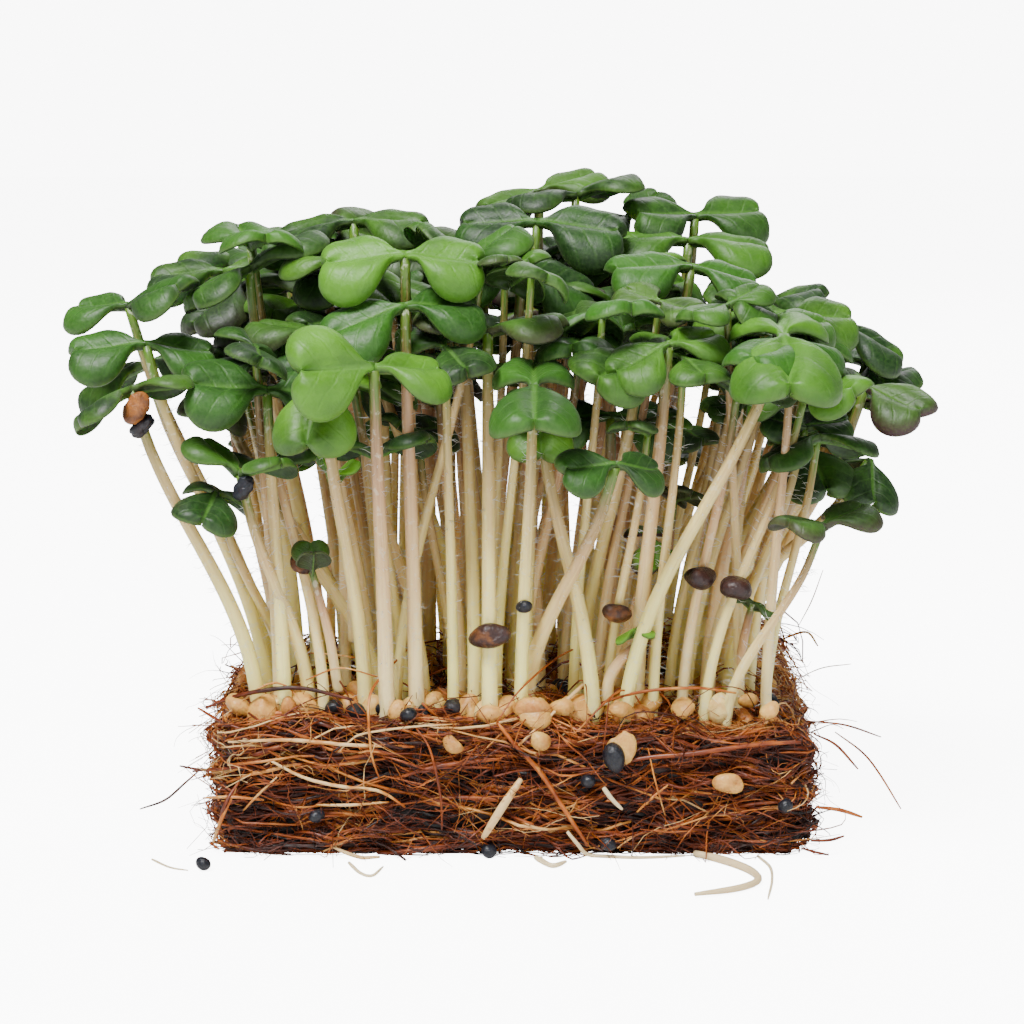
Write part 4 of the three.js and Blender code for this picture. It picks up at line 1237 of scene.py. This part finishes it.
# lists a mesh's faces by their corners, because Blender lists a ball's faces another way in each run
def sortFaces(thing):
    data = thing.data
    faces = []
    for face in data.polygons:
        corners = list(face.vertices)
        first = corners.index(min(corners))
        faces.append(corners[first:] + corners[:first])
    points = [tuple(point.co) for point in data.vertices]
    data.clear_geometry()
    data.from_pydata(points, [], sorted(faces))


# a ball for a seed or a coat to be shaped from, with even faces where divisions are asked for
def ball(divisions=0):
    deselectAll()
    if divisions:
        bpy.ops.mesh.primitive_ico_sphere_add(subdivisions=divisions, radius=0.5)
    else:
        bpy.ops.mesh.primitive_uv_sphere_add(
            segments=seedShapes["segments"], ring_count=seedShapes["rings"], radius=0.5)
    thing = bpy.context.object
    sortFaces(thing)
    return thing, pointsOf(thing)


def shapedPattern(thing, points):
    movePoints(thing, points)
    return patternOf(thing)


def seedPattern():
    seed, points = ball()
    points *= [1.0, 0.80, 0.74]
    points[:, 1:] *= (1 - 0.22 * points[:, :1])
    points[:, 2] -= seedShapes["groove"] * 0.25 * np.exp(-(points[:, 1] / 0.16) ** 2) * (points[:, 2] > 0)
    return shapedPattern(seed, points)


# an emptied coat: half a shell with a wall, its mouth pulled out of round
def huskPattern():
    husk, points = ball()
    bpy.ops.object.mode_set(mode="EDIT")
    bpy.ops.mesh.select_all(action="SELECT")
    bpy.ops.mesh.bisect(plane_co=(0, 0, 0.06), plane_no=(0.25, 0, 1), clear_outer=True)
    bpy.ops.object.mode_set(mode="OBJECT")
    wall = husk.modifiers.new("wall", "SOLIDIFY")
    wall.thickness, wall.offset = seedShapes["wall"], -1
    applyModifiers(husk)
    points = pointsOf(husk)
    mouth = ((points[:, 2] + 0.1) / 0.2).clip(0, 1)
    points[:, 1] *= 0.85 - 0.25 * mouth
    points[:, 0] *= 1 + 0.12 * mouth * np.sin(points[:, 0] * 7)
    return shapedPattern(husk, points)


# a smooth swollen seed, a little pointed at one end
def plumpPattern():
    seed, points = ball()
    points[:, :2] *= (1 - 0.35 * points[:, 2:3].clip(0, 1))
    points[:, 1] *= 0.88
    points += 0.015 * np.sin(points[:, [1, 2, 0]] * 11)
    return shapedPattern(seed, points)


# an emptied seed coat, swollen and dented, each one its own way
def coatPattern(turn):
    coat, points = ball(3)
    x, y, z = points.T
    swell = 1 + 0.16 * np.sin(5 * x + turn) * np.cos(4 * z + 2 * turn) + 0.06 * np.sin(9 * y + turn)
    dent = np.exp(-((points - [0.30, -0.28, 0.26 * math.sin(turn)]) ** 2).sum(1) / 0.05)
    points *= (swell - 0.32 * dent)[:, None] * [1, 0.80, 0.62]
    return shapedPattern(coat, points)


# an empty coat folded nearly shut, with creases
def foldedPattern():
    husk, points = ball(4)
    crease = np.exp(-((points[:, 1] - 0.12 * np.sin(points[:, 0] * 6)) / 0.07) ** 2)
    points *= (1 - 0.22 * crease)[:, None]
    points *= [1.0, 0.62, 0.72]
    x, y, z = points.T
    z += 0.10 * np.sin(x * 4.5) + 0.03 * np.sin(x * 17) * np.cos(y * 13)
    y += 0.05 * np.sin(z * 9)
    return shapedPattern(husk, points)


seedPatterns = {"seed": seedPattern(), "husk": huskPattern(), "folded": foldedPattern(),
                "plump": plumpPattern()}
coatBodies = [coatPattern(turn) for turn in (0.4, 1.7, 2.9, 4.4)]


def turned(points, angles):
    a, b, c = angles
    turnX = np.array([[1, 0, 0], [0, math.cos(a), -math.sin(a)], [0, math.sin(a), math.cos(a)]])
    turnY = np.array([[math.cos(b), 0, math.sin(b)], [0, 1, 0], [-math.sin(b), 0, math.cos(b)]])
    turnZ = np.array([[math.cos(c), -math.sin(c), 0], [math.sin(c), math.cos(c), 0], [0, 0, 1]])
    return points @ (turnZ @ turnY @ turnX).T


def seedShape(kind, place, length, tone, angles=None):
    pattern = seedPatterns[kind] if kind in seedPatterns else coatBodies[int(draw.integers(len(coatBodies)))]
    angles = angles if angles is not None else draw.uniform(-0.7, 0.7, 3) + [0, 0, draw.uniform(0, 6.28)]
    points = turned(pattern["points"] * length, angles) + place
    flat = pattern["points"][:, :2] + 0.5
    return pattern, points, flat, {"tone": tone}


def bedSeeds(look):
    shapes = []
    for px, py, length, kind, tone in look["seen"]:
        place = seenAt(px, py)
        if place[1] <= -coirMat["depth"] / 2 and place[2] > 1:
            place[1] -= 0.4  # on the front of the mat, held by its fibres
        elif place[2] > 1:
            place[2] += length * 0.22
        else:
            place[2] = length * 0.36
        shapes.append(seedShape(kind, place, length * (0.86 if kind == "seed" else 1), tone))
    for seedling in seedlings:  # emptied coats crowd round the feet of the stems, some standing between them
        edge = max(abs(seedling["root"][0]) / 26, abs(seedling["root"][1]) / 17)
        for n in range(3 if edge > 0.75 else 1):
            angle, length = draw.uniform(0, 6.28), draw.uniform(2.2, 4.4)
            place = seedling["root"] + np.array([math.cos(angle), math.sin(angle), 0]) * draw.uniform(1.2, 2.6)
            place[:2] = place[:2].clip([-26.5, -18.2], [26.5, 18.2])
            place[2] = matTop(place[0], place[1]) + length * draw.uniform(-0.02, 0.26)
            tone, angles = draw.uniform(0.56, 0.90), draw.uniform(-1.5, 1.5, 3)
            shapes.append(seedShape("coat", place, length, tone, angles))
    for n in range(look["scattered"]):
        x, y = draw.uniform(-26, 26), draw.uniform(-17, 17)
        kind = draw.choice(["seed", "coat", "coat", "husk"])
        length = draw.uniform(1.9, 2.9)
        tone = draw.uniform(-0.12, 0.1) if kind == "seed" else draw.uniform(0.5, 0.8)
        shapes.append(seedShape(kind, np.array([x, y, matTop(x, y) + length * 0.2]), length, tone))
    return shapes


pieceOf("bedSeeds", bedSeeds(seedShapes), materials["seed"], "seed_coat")

# husks and seeds that the seedlings have carried up with them, each held against a stem
carriedSeeds = {
    "reach": 2.2,
    "seen": [
        (144, 409, 3.3, "folded", 0.42), (151, 423, 2.6, "folded", 0.02), (804, 375, 4.2, "coat", 0.17),
        (617, 612, 2.9, "coat", 0.33), (478, 637, 3.7, "coat", 0.29), (709, 581, 3.6, "coat", 0.22),
        (738, 587, 3.6, "coat", 0.20), (314, 564, 2.6, "coat", 0.34), (246, 492, 2.6, "folded", 0.0),
        (528, 612, 1.7, "seed", -0.1), (878, 512, 2.2, "folded", 0.02),
    ],
}


def againstStem(px, py, reach):
    camera = np.array(photoCamera["place"], dtype=float)
    look = unit(seenAt(px, py, 0) - camera)
    places = np.concatenate(stemRoutes + [route for seedling, route in innerPlants])
    out = places - camera
    along = out @ look
    off = np.linalg.norm(out - along[:, None] * look, axis=1)
    close = off < reach
    if not close.any():
        return places[off.argmin()], look
    nearest = np.where(close, along + off, 1e9).argmin()
    return places[nearest], look


carried = []
for px, py, length, kind, tone in carriedSeeds["seen"]:
    place, look = againstStem(px, py, carriedSeeds["reach"])
    carried.append(seedShape(kind, place - look * (0.45 + 0.2 * length), length, tone))
pieceOf("carriedSeeds", carried, materials["seed"], "seed_coat")

# the three larger ones that are solids of their own
ownSeeds = {
    "seed_pale_1": ((20, -15.5, 13.4), (2.6, 2.6, 3.3), 0.97, "pale_seed"),
    "seed_pale_2": ((20.6, -20.9, 7.4), (3.3, 1.7, 2.0), 0.70, "pale_seed"),
    "seed_coat_1": ((10.2, -20.9, 10.5), (3.2, 1.8, 4.0), 0.74, "seed_coat"),
}
ownBodies = {"seed_pale_1": seedPatterns["plump"], "seed_pale_2": coatBodies[2],
             "seed_coat_1": seedPatterns["folded"]}
for node, (place, size, tone, slotName) in ownSeeds.items():
    body = ownBodies[node]
    points = body["points"] / np.abs(body["points"]).max(0) * np.array(size) / 2 + place
    shapes = [(body, points, body["points"][:, :2] + 0.5, {"tone": tone})]
    if node == "seed_coat_1":  # the split coat still holds its black seed
        shapes.append(seedShape("seed", np.array(place) + [-0.5, -0.55, -0.5], 3.0, -0.1, (0.1, 1.35, 0.0)))
    pieceOf("seed" + node[4:].title().replace("_", ""), shapes, materials["seed"], slotName, [node])
print("seeds laid")

# ---- small late seedlings low among the stems, placed by the photograph's pixels ----

lateSprouts = {
    "seen": [
        dict(pixels=[(607, 704), (609, 680), (620, 661), (637, 646), (642, 637), (635, 630)],
             depths=(-15.5, -16.5, -17.0),
             turn=175, lift=(-30, -10), size=0.26, girth=0.62, sunny=1.0, tone=1.0, blush=0.1),
        dict(pixels=[(338, 690), (330, 640), (320, 600), (312, 572)], depths=(-15.0, -17.5, -18.0),
             turn=100, lift=(70, 55), size=0.38, girth=0.5, sunny=0.5, tone=0.25, blush=0.5),
        dict(pixels=[(738, 690), (742, 650), (748, 620), (753, 603)], depths=(-11.0, -14.0, -15.0),
             turn=350, lift=(-20, 30), size=0.36, girth=0.5, sunny=0.0, tone=0.15, blush=0.2),
        dict(pixels=[(352, 640), (350, 560), (343, 510), (335, 478)], depths=(-13.0, -18.0, -20.5),
             turn=20, lift=(40, 60), size=0.32, girth=0.42, sunny=1.0, tone=0.9, blush=0.0),
    ],
}


def sproutShapes(look):
    blades, stems = [], []
    for sprout in look["seen"]:
        route = seenRoute(sprout["pixels"], sprout["depths"], 44)
        radii = sprout["girth"] * np.interp(np.linspace(0, 1, 44), [0, 0.5, 1], [1.0, 0.9, 0.7])
        stems.append(rodShape(stemRod, route[None], radii[None], tone=1.0, hair=0.0))
        for leaf in leavesOf(dict(sprout, roll=0, arch=0.3)):
            marks = {"flush": sprout["blush"], "sunny": sprout["sunny"], "tone": sprout["tone"]}
            blades.append(leafShape(leaf, route[-1], **marks))
    return blades, stems


sproutBlades, sproutStems = sproutShapes(lateSprouts)
pieceOf("lateSproutBlades", sproutBlades, materials["leaf"], "leaf")
pieceOf("lateSproutStems", sproutStems, materials["stem"], "stem")
print("late sprouts grown")

# ---- white roots that lie on the floor and along the foot of the mat ----

rootShapes = {
    "rings": 22,
    "roots": [
        ([(349, 862), (360, 872), (372, 875), (383, 866)], 0.18, 0.0),
        ([(695, 852), (724, 862), (750, 872), (758, 882), (738, 890), (695, 896)], 0.42, 0.22),
        ([(758, 852), (770, 866), (772, 880), (768, 898)], 0.16, 0.0),
        ([(567, 829), (578, 842), (591, 851), (637, 857), (685, 855)], 0.20, 0.2),
        ([(603, 785), (612, 797), (622, 807)], 0.24, 0.0),
        ([(536, 858), (552, 866), (566, 862)], 0.30, 0.1),
        ([(152, 858), (170, 866), (188, 869)], 0.12, 0.1),
    ],
}
rootRod = patternOf(straightRod(8, rootShapes["rings"]))


def rootRoutes(look):
    shapes = []
    for pixels, radius, tone in look["roots"]:
        places = np.array([seenAt(px, py) for px, py in pixels])
        places[:, 1] -= np.where(places[:, 2] < 1, 0, 1.0)
        places[:, 2] = np.where(places[:, 2] < 1, radius, places[:, 2])
        route = smoothLine(places, 26)
        route[:, 2] = route[:, 2].clip(radius)
        taper = radius * np.interp(np.linspace(0, 1, 26), [0, 0.15, 0.85, 1], [0.8, 1, 0.75, 0.45])
        shapes.append(rodShape(rootRod, route[None], taper[None], tone=tone))
    return shapes


pieceOf("whiteRoots", rootRoutes(rootShapes), materials["root"], "stem")
print("roots laid")

# ---- floor and light ----

studio = {
    "floor": 6.0, "floorColour": (0.95, 0.95, 0.94, 1), "floorGlow": 8.6,
    "world": (1.0, 1.0, 1.0, 1), "worldLight": 0.15, "worldSeen": 9.0,
}

deselectAll()
bpy.ops.mesh.primitive_plane_add(size=studio["floor"], location=(0, 0, 0))
floor = bpy.context.object
floor.name = "floor"
paleFloor = finish("paleFloor", Base_Color=studio["floorColour"], Roughness=0.9, Emission_Color=(1, 1, 1, 1))
seen = paleFloor.node("LightPath").outputs["Is Camera Ray"]
paleFloor.wire(paleFloor.part(seen, studio["floorGlow"]), paleFloor.shader.inputs["Emission Strength"])
floor.data.materials.append(paleFloor.material)

world = bpy.data.worlds.new("studio")
world.use_nodes = True
world.node_tree.nodes["Background"].inputs["Color"].default_value = studio["world"]
seen = world.node_tree.nodes.new("ShaderNodeLightPath")
brightness = world.node_tree.nodes.new("ShaderNodeMapRange")
brightness.inputs["To Min"].default_value = studio["worldLight"]
brightness.inputs["To Max"].default_value = studio["worldSeen"]
world.node_tree.links.new(seen.outputs["Is Camera Ray"], brightness.inputs["Value"])
world.node_tree.links.new(brightness.outputs[0], world.node_tree.nodes["Background"].inputs["Strength"])
bpy.context.scene.world = world


def softLight(name, place, size, power, aim=(0, 0, 0.035)):
    data = bpy.data.lights.new(name, "AREA")
    data.shape, data.size, data.energy = "DISK", size, power
    lamp = bpy.data.objects.new(name, data)
    lamp.location = place
    x, y, z = np.array(place) - np.array(aim)
    lamp.rotation_euler = (math.atan2(math.hypot(x, y), z), 0, math.atan2(y, x) + math.pi / 2)
    bpy.context.scene.collection.objects.link(lamp)


softLight("keyLight", (-0.22, -0.38, 0.72), 0.36, 15.0)
softLight("fillLight", (0.40, -0.62, 0.20), 0.6, 2.2)
softLight("backLight", (0.15, 0.60, 0.50), 0.5, 2.8)
print("floor and lights set")
